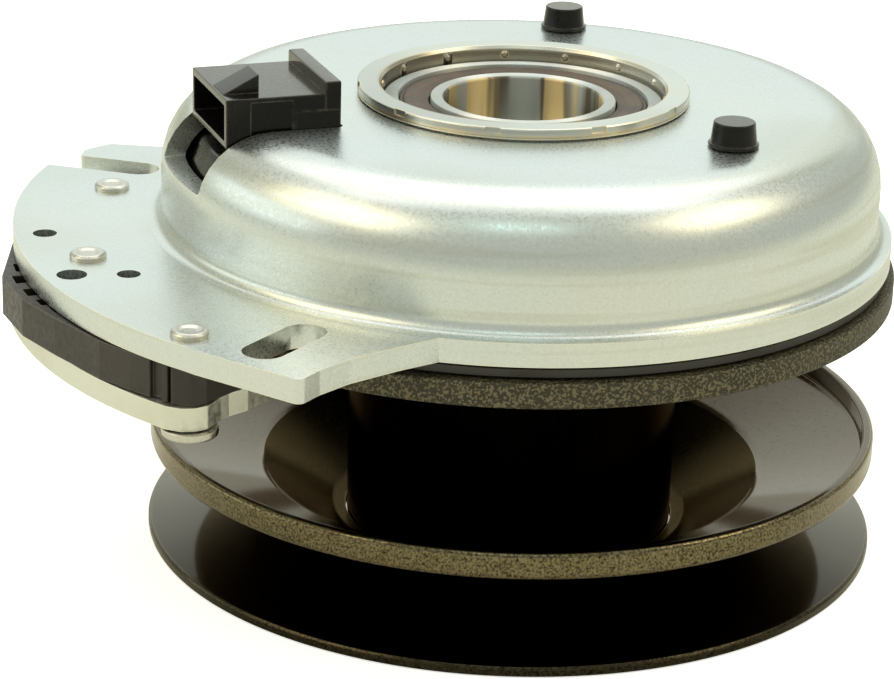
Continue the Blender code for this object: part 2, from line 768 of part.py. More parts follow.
def build_brake(parts, tools):
    """The lower plate, the magnet holder, its magnets and the three long rivets."""
    rivet_holes = [circle(place, RIVET_HOLE, 12) for place in RIVETS]
    outer = arc(BRAKE_CENTRE, BRAKE_OUTER, 169.0, 230.0, 14)
    front = [(-0.0706, -0.0868), (-0.0674, -0.0880), (-0.0646, -0.0876), (-0.0622, -0.0860)]
    front += [(-0.0600, -0.0810), (-0.0586, -0.0790), (-0.0550, -0.0755)]
    inner = arc((0.0, 0.0), BRAKE_INNER, 233.0, 168.0, 12)
    outline = outer + front + inner
    plate = prism("brake_plate", [outline] + rivet_holes, BRAKE_PLATE_BOTTOM, BRAKE_PLATE_TOP, parts)
    finish_part(plate, (0.66, 0.65, 0.58), 0.35)

    edge = [(-0.1080, 0.0170), (-0.1112, 0.0020), (-0.1113, -0.0120), (-0.1102, -0.0372)]
    edge += [(-0.1040, -0.0505), (-0.0958, -0.0612), (-0.0852, -0.0736), (-0.0783, -0.0796)]
    edge += [(-0.0740, -0.0830), (-0.0695, -0.0862), (-0.0656, -0.0872), (-0.0626, -0.0856)]
    edge += [(-0.0566, -0.0774)]
    back = arc((0.0, 0.0), HOLDER_INNER, 233.0, 169.0, 12)
    magnets = ((0.098, 188.0), (0.0985, 217.5))
    pockets = [magnet_outline(*magnet, GAP) for magnet in magnets]
    holder = prism("brake_magnet_holder", [edge + back] + rivet_holes + pockets, HOLDER_BOTTOM, HOLDER_TOP, parts)
    for number, (start, end, reach) in enumerate(HOLDER_CELLS, 1):
        cell = cell_outline(start, end, reach)
        combine(holder, prism(f"holder_cell_{number}", [cell], CELL_FLOOR, 0.070, tools), "DIFFERENCE")
    finish_part(holder, (0.03, 0.025, 0.02), 0.4, 0.0)
    for number, magnet in enumerate(magnets, 1):
        name = f"brake_magnet_{number}"
        solid = prism(name, [magnet_outline(*magnet, 0.0)], HOLDER_BOTTOM, HOLDER_TOP, parts)
        finish_part(solid, (0.1, 0.1, 0.1), 0.5, 0.3)
    for number, place in enumerate(RIVETS, 1):
        build_brake_rivet(number, place, parts)


def cell_outline(start, end, reach):
    """A lightening cell between two radii and two angles in degrees."""
    corners = ((CELL_INNER, start), (reach, start), (reach, end), (CELL_INNER, end))
    return [polar(radius, math.radians(angle)) for radius, angle in corners]


def magnet_outline(radius, angle, margin):
    """A rectangle set square to the radius; the angle is in degrees."""
    centre = polar(radius, math.radians(angle))
    out = polar(0.0065 + margin, math.radians(angle))
    side = polar(0.0095 + margin, math.radians(angle + 90.0))
    signs = ((1, -1), (1, 1), (-1, 1), (-1, -1))
    return [
        (centre[0] + a * out[0] + b * side[0], centre[1] + a * out[1] + b * side[1])
        for a, b in signs
    ]


def build_brake_rivet(number, place, parts):
    """A long rivet from the ear's top to the flat head under the brake plate."""
    profile = [
        (0.0, 0.0751),
        (0.0034, 0.0751),
        (0.0039, 0.0747),
        (0.0039, PLATE_TOP + GAP),
        (RIVET_SHANK, PLATE_TOP + GAP),
        (RIVET_SHANK, BRAKE_PLATE_BOTTOM - GAP),
        (0.0058, BRAKE_PLATE_BOTTOM - GAP),
        (0.0058, 0.0531),
        (0.0052, 0.0526),
        (0.0, 0.0526),
    ]
    rivet = turned(f"brake_rivet_{number}", profile, 16, parts, closed=False)
    rivet.location = (*place, 0.0)
    finish_part(rivet, (0.66, 0.62, 0.55), 0.3)


# ---------------------------------------------------------------- object


def build_clutch():
    """Every piece of the clutch, in its collection."""
    clear_scene()
    parts = new_collection(OBJECT_NAME)
    tools = new_collection("cutters", hidden=True)
    build_field_shell(parts, tools)
    build_inner_pole(parts)
    build_coil_housing(parts, tools)
    build_coil_winding(parts)
    build_terminals(parts)
    build_bearing("field_bearing", FIELD_BEARING_BOTTOM, parts, tools)
    build_rotor(parts, tools)
    build_bearing("pulley_bearing", PULLEY_BEARING_BOTTOM, parts, tools)
    build_pulley(parts)
    drill_drum(parts, tools)
    build_armature(parts, tools)
    build_brake(parts, tools)


build_clutch()
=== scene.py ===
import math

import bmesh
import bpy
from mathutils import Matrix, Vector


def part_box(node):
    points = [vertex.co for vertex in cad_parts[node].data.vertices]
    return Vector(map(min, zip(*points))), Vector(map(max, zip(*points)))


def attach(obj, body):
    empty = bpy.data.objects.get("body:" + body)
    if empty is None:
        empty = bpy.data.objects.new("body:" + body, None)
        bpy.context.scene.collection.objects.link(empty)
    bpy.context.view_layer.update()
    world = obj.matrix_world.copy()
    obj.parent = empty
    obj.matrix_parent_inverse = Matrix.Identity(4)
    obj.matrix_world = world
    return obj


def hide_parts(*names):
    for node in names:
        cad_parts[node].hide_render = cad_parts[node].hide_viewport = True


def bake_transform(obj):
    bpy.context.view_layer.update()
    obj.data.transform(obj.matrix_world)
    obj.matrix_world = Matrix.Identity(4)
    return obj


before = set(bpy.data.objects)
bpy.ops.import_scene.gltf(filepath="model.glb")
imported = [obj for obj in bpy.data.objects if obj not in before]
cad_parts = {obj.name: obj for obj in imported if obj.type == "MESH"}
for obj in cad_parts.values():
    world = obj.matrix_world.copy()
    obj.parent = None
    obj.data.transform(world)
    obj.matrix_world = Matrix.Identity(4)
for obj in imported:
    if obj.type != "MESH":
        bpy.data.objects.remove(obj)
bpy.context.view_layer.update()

# %% [markdown]
# # An electromagnetic clutch
#
# This clutch sits under a mower's engine. A coil in the zinc-plated shell pulls a steel
# disc, the armature, up against a rotor on the crankshaft, and the belt pulley turns with
# it. When the current stops, magnets in the ear hold the armature still. The frame loaded
# above holds every solid at its true place, so each visible piece below takes its place
# from there and only adds what the plain solids lack: fine curves, soft edges and surfaces.

# %% [markdown]
# ## The camera
#
# A product picture is taken from a little above with a long lens, which keeps the rims
# nearly elliptical. The camera is placed by the point it looks at, its height angle and
# its distance, and it is rolled a little, as a hand-held camera is.

# %% Camera
CAMERA_TARGET = Vector((-0.0152, 0.0, 0.0431))
CAMERA_HEIGHT_ANGLE = math.radians(20.48)
CAMERA_DISTANCE = 0.6792
CAMERA_ROLL = math.radians(1.68)
CAMERA_LENS = 120.4

toward = Vector((0.0, math.cos(CAMERA_HEIGHT_ANGLE), -math.sin(CAMERA_HEIGHT_ANGLE)))
level_up = Vector((0.0, math.sin(CAMERA_HEIGHT_ANGLE), math.cos(CAMERA_HEIGHT_ANGLE)))
level_right = Vector((1.0, 0.0, 0.0))
right = math.cos(CAMERA_ROLL) * level_right + math.sin(CAMERA_ROLL) * level_up
up = math.cos(CAMERA_ROLL) * level_up - math.sin(CAMERA_ROLL) * level_right
camera_data = bpy.data.cameras.new("camera")
camera_data.lens = CAMERA_LENS
camera_data.clip_start = 0.01
camera = bpy.data.objects.new("camera", camera_data)
turn = Matrix((right, up, -toward)).transposed().to_4x4()
camera.matrix_world = Matrix.Translation(CAMERA_TARGET - CAMERA_DISTANCE * toward) @ turn
bpy.context.scene.collection.objects.link(camera)
bpy.context.scene.camera = camera
print("camera at", [round(v, 3) for v in camera.matrix_world.translation])

# %% [markdown]
# ## The floor
#
# The clutch stands on plain white paper. To the eye the paper has to be clean white, but
# shiny steel mirrors it as well, and pure white there would wash the metal out. The Light
# Path node tells the two apart: a camera ray sees white paper with a glow of its own, and
# every other ray meets dimmer, slightly yellow paper without a glow.

# %% Floor
scene = bpy.context.scene
scene.view_settings.view_transform = "Standard"
FLOOR_HALF = 4.0
PAPER_SEEN = (0.95, 0.95, 0.95, 1.0)
PAPER_REFLECTED = (0.82, 0.81, 0.72, 1.0)
PAPER_GLOW = 0.65


def build_floor():
    """A wide pale floor at the pulley's lowest rim, dimmer in reflections than to the eye."""
    mesh = bpy.data.meshes.new("floor")
    shape = bmesh.new()
    bmesh.ops.create_grid(shape, x_segments=1, y_segments=1, size=FLOOR_HALF)
    shape.to_mesh(mesh)
    shape.free()
    floor = bpy.data.objects.new("floor", mesh)
    scene.collection.objects.link(floor)
    paper = bpy.data.materials.new("studio_paper")
    paper.use_nodes = True
    tree = paper.node_tree
    shader = tree.nodes["Principled BSDF"]
    shader.inputs["Roughness"].default_value = 0.95
    shader.inputs["Specular IOR Level"].default_value = 0.0
    path = tree.nodes.new("ShaderNodeLightPath")
    mix = tree.nodes.new("ShaderNodeMix")
    mix.data_type = "RGBA"
    mix.inputs["A"].default_value = PAPER_REFLECTED
    mix.inputs["B"].default_value = PAPER_SEEN
    tree.links.new(path.outputs["Is Camera Ray"], mix.inputs["Factor"])
    tree.links.new(mix.outputs["Result"], shader.inputs["Base Color"])
    shader.inputs["Emission Color"].default_value = PAPER_SEEN
    glow = tree.nodes.new("ShaderNodeMapRange")
    glow.inputs["To Max"].default_value = PAPER_GLOW
    tree.links.new(path.outputs["Is Camera Ray"], glow.inputs["Value"])
    tree.links.new(glow.outputs["Result"], shader.inputs["Emission Strength"])
    mesh.materials.append(paper)
    return floor


build_floor()
print("paper floor laid")

# %% [markdown]
# ## The lights
#
# Shiny metal shows its surroundings more than itself, so the lights are large soft boxes.
# The back and top ones draw the broad highlight over the round shoulder. The left and
# right ones are golden, for the warm streaks on the steel. The side box lights the ear's
# edge, and the small front box puts a sheen on the plug socket and the pulley's rim.

# %% Lights
MIDDLE = Vector((0.0, 0.0, 0.06))
GOLDEN = (1.0, 0.88, 0.58)
AIR_COLOUR = (0.96, 1.0, 0.86, 1.0)
AIR_STRENGTH = 0.54


def soft_box(name, place, size, radiance, colour):
    """A large rectangular light that faces the clutch; radiance 1 looks white in a mirror."""
    data = bpy.data.lights.new(name, "AREA")
    data.shape = "RECTANGLE"
    data.size, data.size_y = size
    data.energy = radiance * math.pi * size[0] * size[1]
    data.color = colour
    light = bpy.data.objects.new(name, data)
    light.location = place
    light.rotation_euler = (MIDDLE - Vector(place)).to_track_quat("-Z", "Y").to_euler()
    scene.collection.objects.link(light)
    return light


soft_box("back_box", (0.0, 1.75, 0.95), (2.5, 1.3), 0.49, (0.86, 0.98, 1.0))
soft_box("top_box", (0.0, 0.62, 1.75), (2.1, 1.5), 1.28, (0.97, 1.0, 1.0))
soft_box("left_box", (-1.0, -0.36, 1.06), (1.05, 0.62), 1.9, GOLDEN)
soft_box("right_box", (1.03, -0.18, 1.08), (0.85, 0.58), 1.9, GOLDEN)
soft_box("side_box", (-1.7, 0.0, 0.55), (1.5, 0.5), 1.0, (0.88, 1.0, 1.0))
soft_box("front_box", (-0.02, -0.75, 1.30), (0.5, 0.24), 1.35, (0.70, 1.0, 0.94))

world = bpy.data.worlds.new("studio_air")
scene.world = world
world.use_nodes = True
world.node_tree.nodes["Background"].inputs["Color"].default_value = AIR_COLOUR
world.node_tree.nodes["Background"].inputs["Strength"].default_value = AIR_STRENGTH

# %% [markdown]
# ## Tools for shapes
#
# Nearly every piece is either turned about the shaft or stamped from sheet. A turned piece
# is drawn as half its section and spun by a Screw modifier. A stamped piece is a flat
# outline pushed to a thickness. On both, real edges are a little round, so the helper
# below replaces each corner of an outline with a short arc of its own radius. Drawings of
# machine parts are in millimetres, and so are the sections here.

# %% Rounding the corners of an outline
MM = 0.001
ARC_STEP = math.radians(12)


def frame_size(node):
    """The lowest and highest corners of a frame solid, in millimetres."""
    low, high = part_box(node)
    return low / MM, high / MM


def corner_room(length, radius, neighbour):
    """How much of a side a corner may use, shared with the corner at its other end."""
    return 0.999 * length * radius / (radius + neighbour)


def soft_outline(corners, closed=True):
    """Turn (x, y, radius) corners into points, with an arc where the radius isn't zero."""
    points = []
    count = len(corners)
    for index, (x, y, radius) in enumerate(corners):
        at_end = not closed and index in (0, count - 1)
        if radius == 0.0 or at_end:
            points.append((x, y))
            continue
        before = corners[index - 1]
        after = corners[(index + 1) % count]
        here = Vector((x, y))
        back = Vector(before[:2]) - here
        ahead = Vector(after[:2]) - here
        half = back.angle(ahead) / 2
        reach = radius / math.tan(half)
        reach = min(reach, corner_room(back.length, radius, before[2]))
        reach = min(reach, corner_room(ahead.length, radius, after[2]))
        start = here + back.normalized() * reach
        end = here + ahead.normalized() * reach
        middle = (back.normalized() + ahead.normalized()).normalized()
        centre = here + middle * (reach / math.cos(half))
        spoke = start - centre
        sweep = math.pi - 2 * half
        side = 1.0 if back.cross(ahead) < 0 else -1.0
        steps = max(2, math.ceil(sweep / ARC_STEP))
        for step in range(steps + 1):
            turned_spoke = spoke.copy()
            turned_spoke.rotate(Matrix.Rotation(side * sweep * step / steps, 2))
            points.append(tuple(centre + turned_spoke))
    return points


def arc_points(centre, radius, start, end, count):
    """Points along an arc, each as a sharp corner; the angles are in degrees."""
    points = []
    for step in range(count + 1):
        angle = math.radians(start + (end - start) * step / count)
        x = centre[0] + radius * math.cos(angle)
        y = centre[1] + radius * math.sin(angle)
        points.append((x, y, 0.0))
    return points


def circle(centre, radius, count=40):
    """A closed round outline."""
    return arc_points(centre, radius, 0.0, 360.0 - 360.0 / count, count - 1)


def stadium(start, end, half_width, count=18):
    """The outline of a strip with round ends, such as a slot."""
    heading = math.degrees(math.atan2(end[1] - start[1], end[0] - start[0]))
    first = arc_points(start, half_width, heading + 90.0, heading + 270.0, count)
    second = arc_points(end, half_width, heading - 90.0, heading + 90.0, count)
    return first + second


def polar(radius, angle):
    """The place at a radius and an angle in degrees round the shaft."""
    return radius * math.cos(math.radians(angle)), radius * math.sin(math.radians(angle))


print("outline tools ready")

# %% Turned and stamped solids
LARGE_STEPS = 192
SMALL_STEPS = 48
MERGE = 0.000002


def race_section(inner, outer, bottom, top, inner_round, outer_round):
    """A ground ring with its own corner radius inside and outside."""
    return [
        (inner, top, inner_round),
        (outer, top, outer_round),
        (outer, bottom, outer_round),
        (inner, bottom, inner_round),
    ]


def place_mesh(name, mesh):
    """A new object for a mesh."""
    piece = bpy.data.objects.new(name, mesh)
    scene.collection.objects.link(piece)
    return piece


def settle(piece):
    """Replace a piece's mesh by what its modifiers make of it."""
    bpy.context.view_layer.update()
    graph = bpy.context.evaluated_depsgraph_get()
    mesh = bpy.data.meshes.new_from_object(piece.evaluated_get(graph))
    mesh.name = piece.name
    piece.modifiers.clear()
    piece.data = mesh
    return piece


def tidy_mesh(mesh):
    """Weld doubled points and turn every face outwards."""
    shape = bmesh.new()
    shape.from_mesh(mesh)
    bmesh.ops.remove_doubles(shape, verts=shape.verts, dist=MERGE)
    bmesh.ops.recalc_face_normals(shape, faces=shape.faces)
    shape.to_mesh(mesh)
    shape.free()


def turned(name, corners, steps=LARGE_STEPS, closed=True, place=(0.0, 0.0)):
    """Spin half a section of (radius, height, corner radius) about an upright axis."""
    points = soft_outline(corners, closed)
    edges = [(i, i + 1) for i in range(len(points) - 1)]
    if closed:
        edges.append((len(points) - 1, 0))
    mesh = bpy.data.meshes.new(name)
    mesh.from_pydata([(r * MM, 0.0, z * MM) for r, z in points], edges, [])
    piece = place_mesh(name, mesh)
    screw = piece.modifiers.new("turn", "SCREW")
    screw.axis = "Z"
    screw.steps = steps
    screw.render_steps = steps
    screw.use_merge_vertices = True
    screw.merge_threshold = MERGE
    settle(piece)
    tidy_mesh(piece.data)
    piece.data.transform(Matrix.Translation((place[0] * MM, place[1] * MM, 0.0)))
    return piece


def stamped(name, outlines, bottom, top, edge=0.0, edge_steps=2):
    """Push flat outlines to a thickness; the first is the edge, the others are holes."""
    curve = bpy.data.curves.new(name, "CURVE")
    curve.dimensions = "2D"
    curve.fill_mode = "BOTH"
    curve.extrude = (top - bottom) * MM / 2
    for outline in outlines:
        points = soft_outline(outline)
        spline = curve.splines.new("POLY")
        spline.points.add(len(points) - 1)
        for point, (x, y) in zip(spline.points, points):
            point.co = (x * MM, y * MM, 0.0, 1.0)
        spline.use_cyclic_u = True
    guide = place_mesh(name + "_outline", curve)
    bpy.context.view_layer.update()
    graph = bpy.context.evaluated_depsgraph_get()
    mesh = bpy.data.meshes.new_from_object(guide.evaluated_get(graph))
    bpy.data.objects.remove(guide, do_unlink=True)
    mesh.transform(Matrix.Translation((0.0, 0.0, (top + bottom) * MM / 2)))
    tidy_mesh(mesh)
    piece = place_mesh(name, mesh)
    if edge:
        soften(piece, edge, edge_steps)
    return piece


def block(name, low, high, angle=0.0, edge=0.0):
    """A box between two corners, turned round the shaft by an angle in degrees."""
    shape = bmesh.new()
    bmesh.ops.create_cube(shape, size=1.0)
    size = [(b - a) * MM for a, b in zip(low, high)]
    middle = [(a + b) * MM / 2 for a, b in zip(low, high)]
    bmesh.ops.scale(shape, vec=size, verts=shape.verts)
    bmesh.ops.translate(shape, vec=middle, verts=shape.verts)
    mesh = bpy.data.meshes.new(name)
    shape.to_mesh(mesh)
    shape.free()
    piece = place_mesh(name, mesh)
    if edge:
        soften(piece, edge)
    piece.data.transform(Matrix.Rotation(math.radians(angle), 4, "Z"))
    return piece


print("turning and stamping ready")

# %% [markdown]
# Stamped and moulded pieces are then worked further, as in a shop: their edges are
# softened, parts are fused on, and slots and pockets are cut with exact booleans. Cutters
# that don't touch one another go into one object, so that a single cut makes them all.

# %% Softening, fusing and cutting
def soften(piece, width, steps=2, angle=50):
    """Round the edges of a piece that are sharper than an angle in degrees."""
    bevel = piece.modifiers.new("soft_edges", "BEVEL")
    bevel.width = width * MM
    bevel.segments = steps
    bevel.limit_method = "ANGLE"
    bevel.angle_limit = math.radians(angle)
    return settle(piece)


def fuse(piece, other, operation="UNION"):
    """Fuse another solid into a piece, and drop the other."""
    boolean = piece.modifiers.new("fuse", "BOOLEAN")
    boolean.operation = operation
    boolean.solver = "EXACT"
    boolean.object = other
    settle(piece)
    bpy.data.objects.remove(other, do_unlink=True)
    return piece


def carve(piece, cutter):
    """Cut a solid away from a piece."""
    return fuse(piece, cutter, "DIFFERENCE")


def gather(name, solids):
    """Put separate solids into one object, so that one cut serves them all."""
    shape = bmesh.new()
    for solid in solids:
        shape.from_mesh(solid.data)
        bpy.data.objects.remove(solid, do_unlink=True)
    mesh = bpy.data.meshes.new(name)
    shape.to_mesh(mesh)
    shape.free()
    return place_mesh(name, mesh)


def add_balls(mesh, count, first_angle, circle_radius, height, radius):
    """Add a ring of equal balls round the shaft to a mesh."""
    shape = bmesh.new()
    shape.from_mesh(mesh)
    for number in range(count):
        x, y = polar(circle_radius, first_angle + 360.0 * number / count)
        at = Matrix.Translation((x * MM, y * MM, height * MM))
        bmesh.ops.create_icosphere(shape, subdivisions=3, radius=radius * MM, matrix=at)
    shape.to_mesh(mesh)
    shape.free()


print("cutting tools ready")

# %% [markdown]
# A finished piece gets its material and smooth shading with sharp creases. Then it is
# mounted: it rides one body of the mechanism, or, if it would bend between two, it is left
# unmounted at its place, and it takes the place of the frame's plain solids.

# %% Finishing a piece
def finish_piece(piece, finish, body, *nodes, crease=35, slot=None, bend=None):
    """Shade, paint and mount a piece, and hide the frame solids it stands for.

    A piece given a bend is not mounted on a body; the body and the two points in bend are not used.
    """
    piece.data.materials.clear()
    piece.data.materials.append(FINISHES[finish])
    piece.data.shade_smooth()
    piece.data.set_sharp_from_angle(angle=math.radians(crease))
    even = piece.modifiers.new("even_normals", "WEIGHTED_NORMAL")
    even.keep_sharp = True
    if bend is None:
        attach(piece, body)
    else:
        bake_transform(piece)
    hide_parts(*nodes)
    return piece


print("finishing ready")

# %% [markdown]
# ## Surfaces
#
# The clutch has few colours and many surfaces: bright zinc over drawn steel, machined
# rings, polished bearing races, moulded black plastic, and black paint over pressed steel.
# What tells them apart is fine structure. So the effects that they share are node groups,
# built once, and each gives a plain mask from 0 to 1:
#
# - a grain, which reads as plating when it is fine and as stains when it is coarse, and which on the pole
#   carries a painted golden reflection
# - streaks that run down a drawn wall, and bands that run round it; in the bores of the races and the pole
#   they carry painted reflection and shade
# - lathe lines round the shaft, as a cutting tool leaves them
# - edges, where paint is thin, and where a rounded edge would catch the light, for a painted highlight
# - all that lies beyond a radius, such as a painted rim or the faces of a ring

# %% Small tools for nodes
def link(tree, source, target):
    """Give an input its value: another node's output, or a plain number or colour."""
    if isinstance(source, bpy.types.NodeSocket):
        tree.links.new(source, target)
    else:
        target.default_value = source


def new_node(tree, kind, **settings):
    """A node with its settings."""
    node = tree.nodes.new(kind)
    for key, value in settings.items():
        setattr(node, key, value)
    return node


def maths(tree, operation, first, second, **settings):
    """The result of one sum on two values."""
    node = new_node(tree, "ShaderNodeMath", operation=operation, **settings)
    link(tree, first, node.inputs[0])
    link(tree, second, node.inputs[1])
    return node.outputs["Value"]


def spread(tree, value, low, high, to_low=0.0, to_high=1.0, **settings):
    """Map a value's span on to another one, and hold it at the ends."""
    node = new_node(tree, "ShaderNodeMapRange", **settings)
    link(tree, value, node.inputs["Value"])
    link(tree, low, node.inputs["From Min"])
    link(tree, high, node.inputs["From Max"])
    link(tree, to_low, node.inputs["To Min"])
    link(tree, to_high, node.inputs["To Max"])
    return node.outputs["Result"]


def new_group(name, inputs):
    """A shader node group with number inputs and one number output."""
    group = bpy.data.node_groups.new(name, "ShaderNodeTree")
    for label, value in inputs:
        socket = group.interface.new_socket(label, in_out="INPUT", socket_type="NodeSocketFloat")
        socket.default_value = value
    group.interface.new_socket("Value", in_out="OUTPUT", socket_type="NodeSocketFloat")
    return group, group.nodes.new("NodeGroupInput"), group.nodes.new("NodeGroupOutput")


def stretched_noise(group, stretch, scale, detail):
    """Noise over the object's own coordinates, stretched along its axes."""
    place = group.nodes.new("ShaderNodeTexCoord")
    mapping = group.nodes.new("ShaderNodeMapping")
    mapping.inputs["Scale"].default_value = stretch
    noise = group.nodes.new("ShaderNodeTexNoise")
    noise.inputs["Detail"].default_value = detail
    link(group, place.outputs["Object"], mapping.inputs["Vector"])
    link(group, mapping.outputs["Vector"], noise.inputs["Vector"])
    link(group, scale, noise.inputs["Scale"])
    return noise.outputs["Fac"]


def broken(group, mask, scale, low, high):
    """A mask with gaps in it, where noise of a scale lies under a limit."""
    noise = stretched_noise(group, (1.0, 1.0, 1.0), scale, 3.0)
    return maths(group, "MULTIPLY", mask, spread(group, noise, low, high), use_clamp=True)


def from_shaft(group):
    """The distance from the shaft and the height along it, in metres."""
    place = group.nodes.new("ShaderNodeTexCoord")
    split = group.nodes.new("ShaderNodeSeparateXYZ")
    flat = group.nodes.new("ShaderNodeCombineXYZ")
    distance = new_node(group, "ShaderNodeVectorMath", operation="LENGTH")
    link(group, place.outputs["Object"], split.inputs["Vector"])
    link(group, split.outputs["X"], flat.inputs["X"])
    link(group, split.outputs["Y"], flat.inputs["Y"])
    link(group, flat.outputs["Vector"], distance.inputs[0])
    return distance.outputs["Value"], split.outputs["Z"]


print("node tools ready")

# %% The shared effects
EDGE_REACH = 0.0006


def build_patches(name, stretch, detail):
    """Patches of noise, from 0 at one limit to 1 at the other."""
    group, entry, leave = new_group(name, [("Scale", 100.0), ("From", 0.35), ("To", 0.65)])
    given = entry.outputs
    noise = stretched_noise(group, stretch, given["Scale"], detail)
    value = spread(group, noise, given["From"], given["To"], interpolation_type="SMOOTHSTEP")
    link(group, value, leave.inputs["Value"])
    return group


def build_lathe_lines():
    """Fine rings round the shaft, on flat faces and on walls alike."""
    group, entry, leave = new_group("lathe_lines", [("Lines per metre", 4000.0)])
    distance, height = from_shaft(group)
    along = maths(group, "ADD", distance, height)
    count = maths(group, "MULTIPLY", along, entry.outputs["Lines per metre"])
    noise = new_node(group, "ShaderNodeTexNoise", noise_dimensions="1D")
    noise.inputs["Scale"].default_value = 1.0
    noise.inputs["Detail"].default_value = 3.0
    link(group, count, noise.inputs["W"])
    link(group, noise.outputs["Fac"], leave.inputs["Value"])
    return group


# Used both for real wear of thin paint and for painted highlights along edges.
def build_worn_and_highlit_edges():
    """A mask that is 1 on outer and inner edges and 0 on open faces.

    The Bevel node gives the normal that a rounder edge would have. Where it turns away
    from the true normal, there is an edge.
    """
    group, entry, leave = new_group("worn_and_highlit_edges", [("Gain", 6.0), ("Breakup", 400.0)])
    bevel = new_node(group, "ShaderNodeBevel", samples=6)
    bevel.inputs["Radius"].default_value = EDGE_REACH
    normal = group.nodes.new("ShaderNodeNewGeometry")
    same = new_node(group, "ShaderNodeVectorMath", operation="DOT_PRODUCT")
    link(group, bevel.outputs["Normal"], same.inputs[0])
    link(group, normal.outputs["Normal"], same.inputs[1])
    turned_away = maths(group, "SUBTRACT", 1.0, same.outputs["Value"])
    edge = maths(group, "MULTIPLY", turned_away, entry.outputs["Gain"], use_clamp=True)
    value = broken(group, edge, entry.outputs["Breakup"], 0.3, 0.55)
    link(group, value, leave.inputs["Value"])
    return group


def build_rim_mask():
    """A mask that is 0 up to a radius from the shaft and broken by noise beyond it.

    With a breakup of 0 the noise stands still, and the mask is an even 0.6 or so beyond.
    """
    group, entry, leave = new_group("rim_mask", [("Radius", 0.08), ("Breakup", 900.0)])
    distance = from_shaft(group)[0]
    beyond = maths(group, "GREATER_THAN", distance, entry.outputs["Radius"])
    value = broken(group, beyond, entry.outputs["Breakup"], 0.34, 0.6)
    link(group, value, leave.inputs["Value"])
    return group


EFFECTS = {
    "rim": build_rim_mask(),
    "grain": build_patches("grain", (1.0, 1.0, 1.0), 3.0),
    "streaks": build_patches("drawn_and_reflection_streaks", (1.0, 1.0, 0.04), 2.0),
    "bands": build_patches("drawn_and_shade_bands", (0.03, 0.03, 1.0), 2.0),
    "edges": build_worn_and_highlit_edges(),
    "lathe": build_lathe_lines(),
}
print("shared effects:", sorted(EFFECTS))

# %% [markdown]
# Each material is a Principled shader with a few of these effects placed in it. They blend
# colours, move the roughness between two values and lift the surface by a few thousandths
# of a millimetre, which is all that a real grain does. Most of the clutch's surfaces follow
# one recipe: a texture for roughness and height, faint clouds of a second colour, and
# edges that are lighter than the faces, a painted highlight where a rounded edge would
# catch the light, and partly real wear.

# %% A small kit for materials
FINISHES = {}


class Finish:
    """One material under construction."""

    def __init__(self, name, colour, roughness, metallic=0.0, coat=0.0, coat_roughness=0.1):
        self.material = bpy.data.materials.new(name)
        self.material.use_nodes = True
        self.material.diffuse_color = (*colour, 1.0)
        self.tree = self.material.node_tree
        self.shader = self.tree.nodes["Principled BSDF"]
        self.colour = (*colour, 1.0)
        self.height = None
        self.give("Base Color", self.colour)
        self.give("Roughness", roughness)
        self.give("Metallic", metallic)
        self.give("Coat Weight", coat)
        self.give("Coat Roughness", coat_roughness)
        FINISHES[name] = self.material

    def give(self, label, value):
        """Give one of the shader's inputs its value."""
        link(self.tree, value, self.shader.inputs[label])

    def effect(self, kind, *values):
        """Place a shared effect, with the values of its inputs in their order."""
        node = new_node(self.tree, "ShaderNodeGroup", node_tree=EFFECTS[kind])
        for socket, value in zip(node.inputs, values):
            socket.default_value = value
        return node.outputs["Value"]

    def tint(self, mask, colour):
        """Blend another colour in where the mask is 1."""
        mix = new_node(self.tree, "ShaderNodeMix", data_type="RGBA")
        link(self.tree, mask, mix.inputs["Factor"])
        link(self.tree, self.colour, mix.inputs["A"])
        link(self.tree, (*colour, 1.0), mix.inputs["B"])
        self.colour = mix.outputs["Result"]
        self.give("Base Color", self.colour)

    def polish(self, mask, low, high):
        """Move the roughness between two values with the mask."""
        self.give("Roughness", spread(self.tree, mask, 0.0, 1.0, low, high))

    def brushed_round(self, amount):
        """Stretch the highlights across lathe lines, as on a turned or ground ring."""
        tangent = new_node(self.tree, "ShaderNodeTangent", direction_type="RADIAL", axis="Z")
        self.give("Anisotropic", amount)
        self.give("Anisotropic Rotation", QUARTER_TURN)
        self.give("Tangent", tangent.outputs["Tangent"])

    def gloss_at_grazing(self, start, full, weight, mask=1.0):
        """Coat that shows where the surface is seen edge-on, as glossy paint does."""
        layer = self.tree.nodes.new("ShaderNodeLayerWeight")
        layer.inputs["Blend"].default_value = 0.5
        edge_on = spread(self.tree, layer.outputs["Facing"], start, full, 0.0, weight)
        self.give("Coat Weight", maths(self.tree, "MULTIPLY", edge_on, mask, use_clamp=True))

    def lift(self, mask, millimetres):
        """Raise the surface by a height where the mask is 1."""
        bump = self.tree.nodes.new("ShaderNodeBump")
        bump.inputs["Strength"].default_value = 1.0
        bump.inputs["Distance"].default_value = millimetres * MM
        link(self.tree, mask, bump.inputs["Height"])
        if self.height is not None:
            link(self.tree, self.height, bump.inputs["Normal"])
        self.height = bump.outputs["Normal"]
        self.give("Normal", self.height)


def surface(name, colour, roughness, texture, polish, lift, clouds=None, edge_wear_and_highlight=None, **settings):
    """A finish by the common recipe.

    The texture is an effect with its values. The clouds are the three values of a coarse
    grain and a colour, and the edge tint is the mask's two values and a colour. Lighter
    edges are a painted highlight where a rounded edge would catch the light, and partly
    real wear; darker ones only darken the edges.
    """
    finish = Finish(name, colour, roughness, **settings)
    mask = finish.effect(*texture)
    if clouds:
        finish.tint(finish.effect("grain", *clouds[:-1]), clouds[-1])
    # Edge tint: lighter edges are a painted highlight, partly real wear.
    if edge_wear_and_highlight:
        finish.tint(finish.effect("edges", *edge_wear_and_highlight[:-1]), edge_wear_and_highlight[-1])
    finish.polish(mask, *polish)
    finish.lift(mask, lift)
    return finish


QUARTER_TURN = 0.25
print("material kit ready")
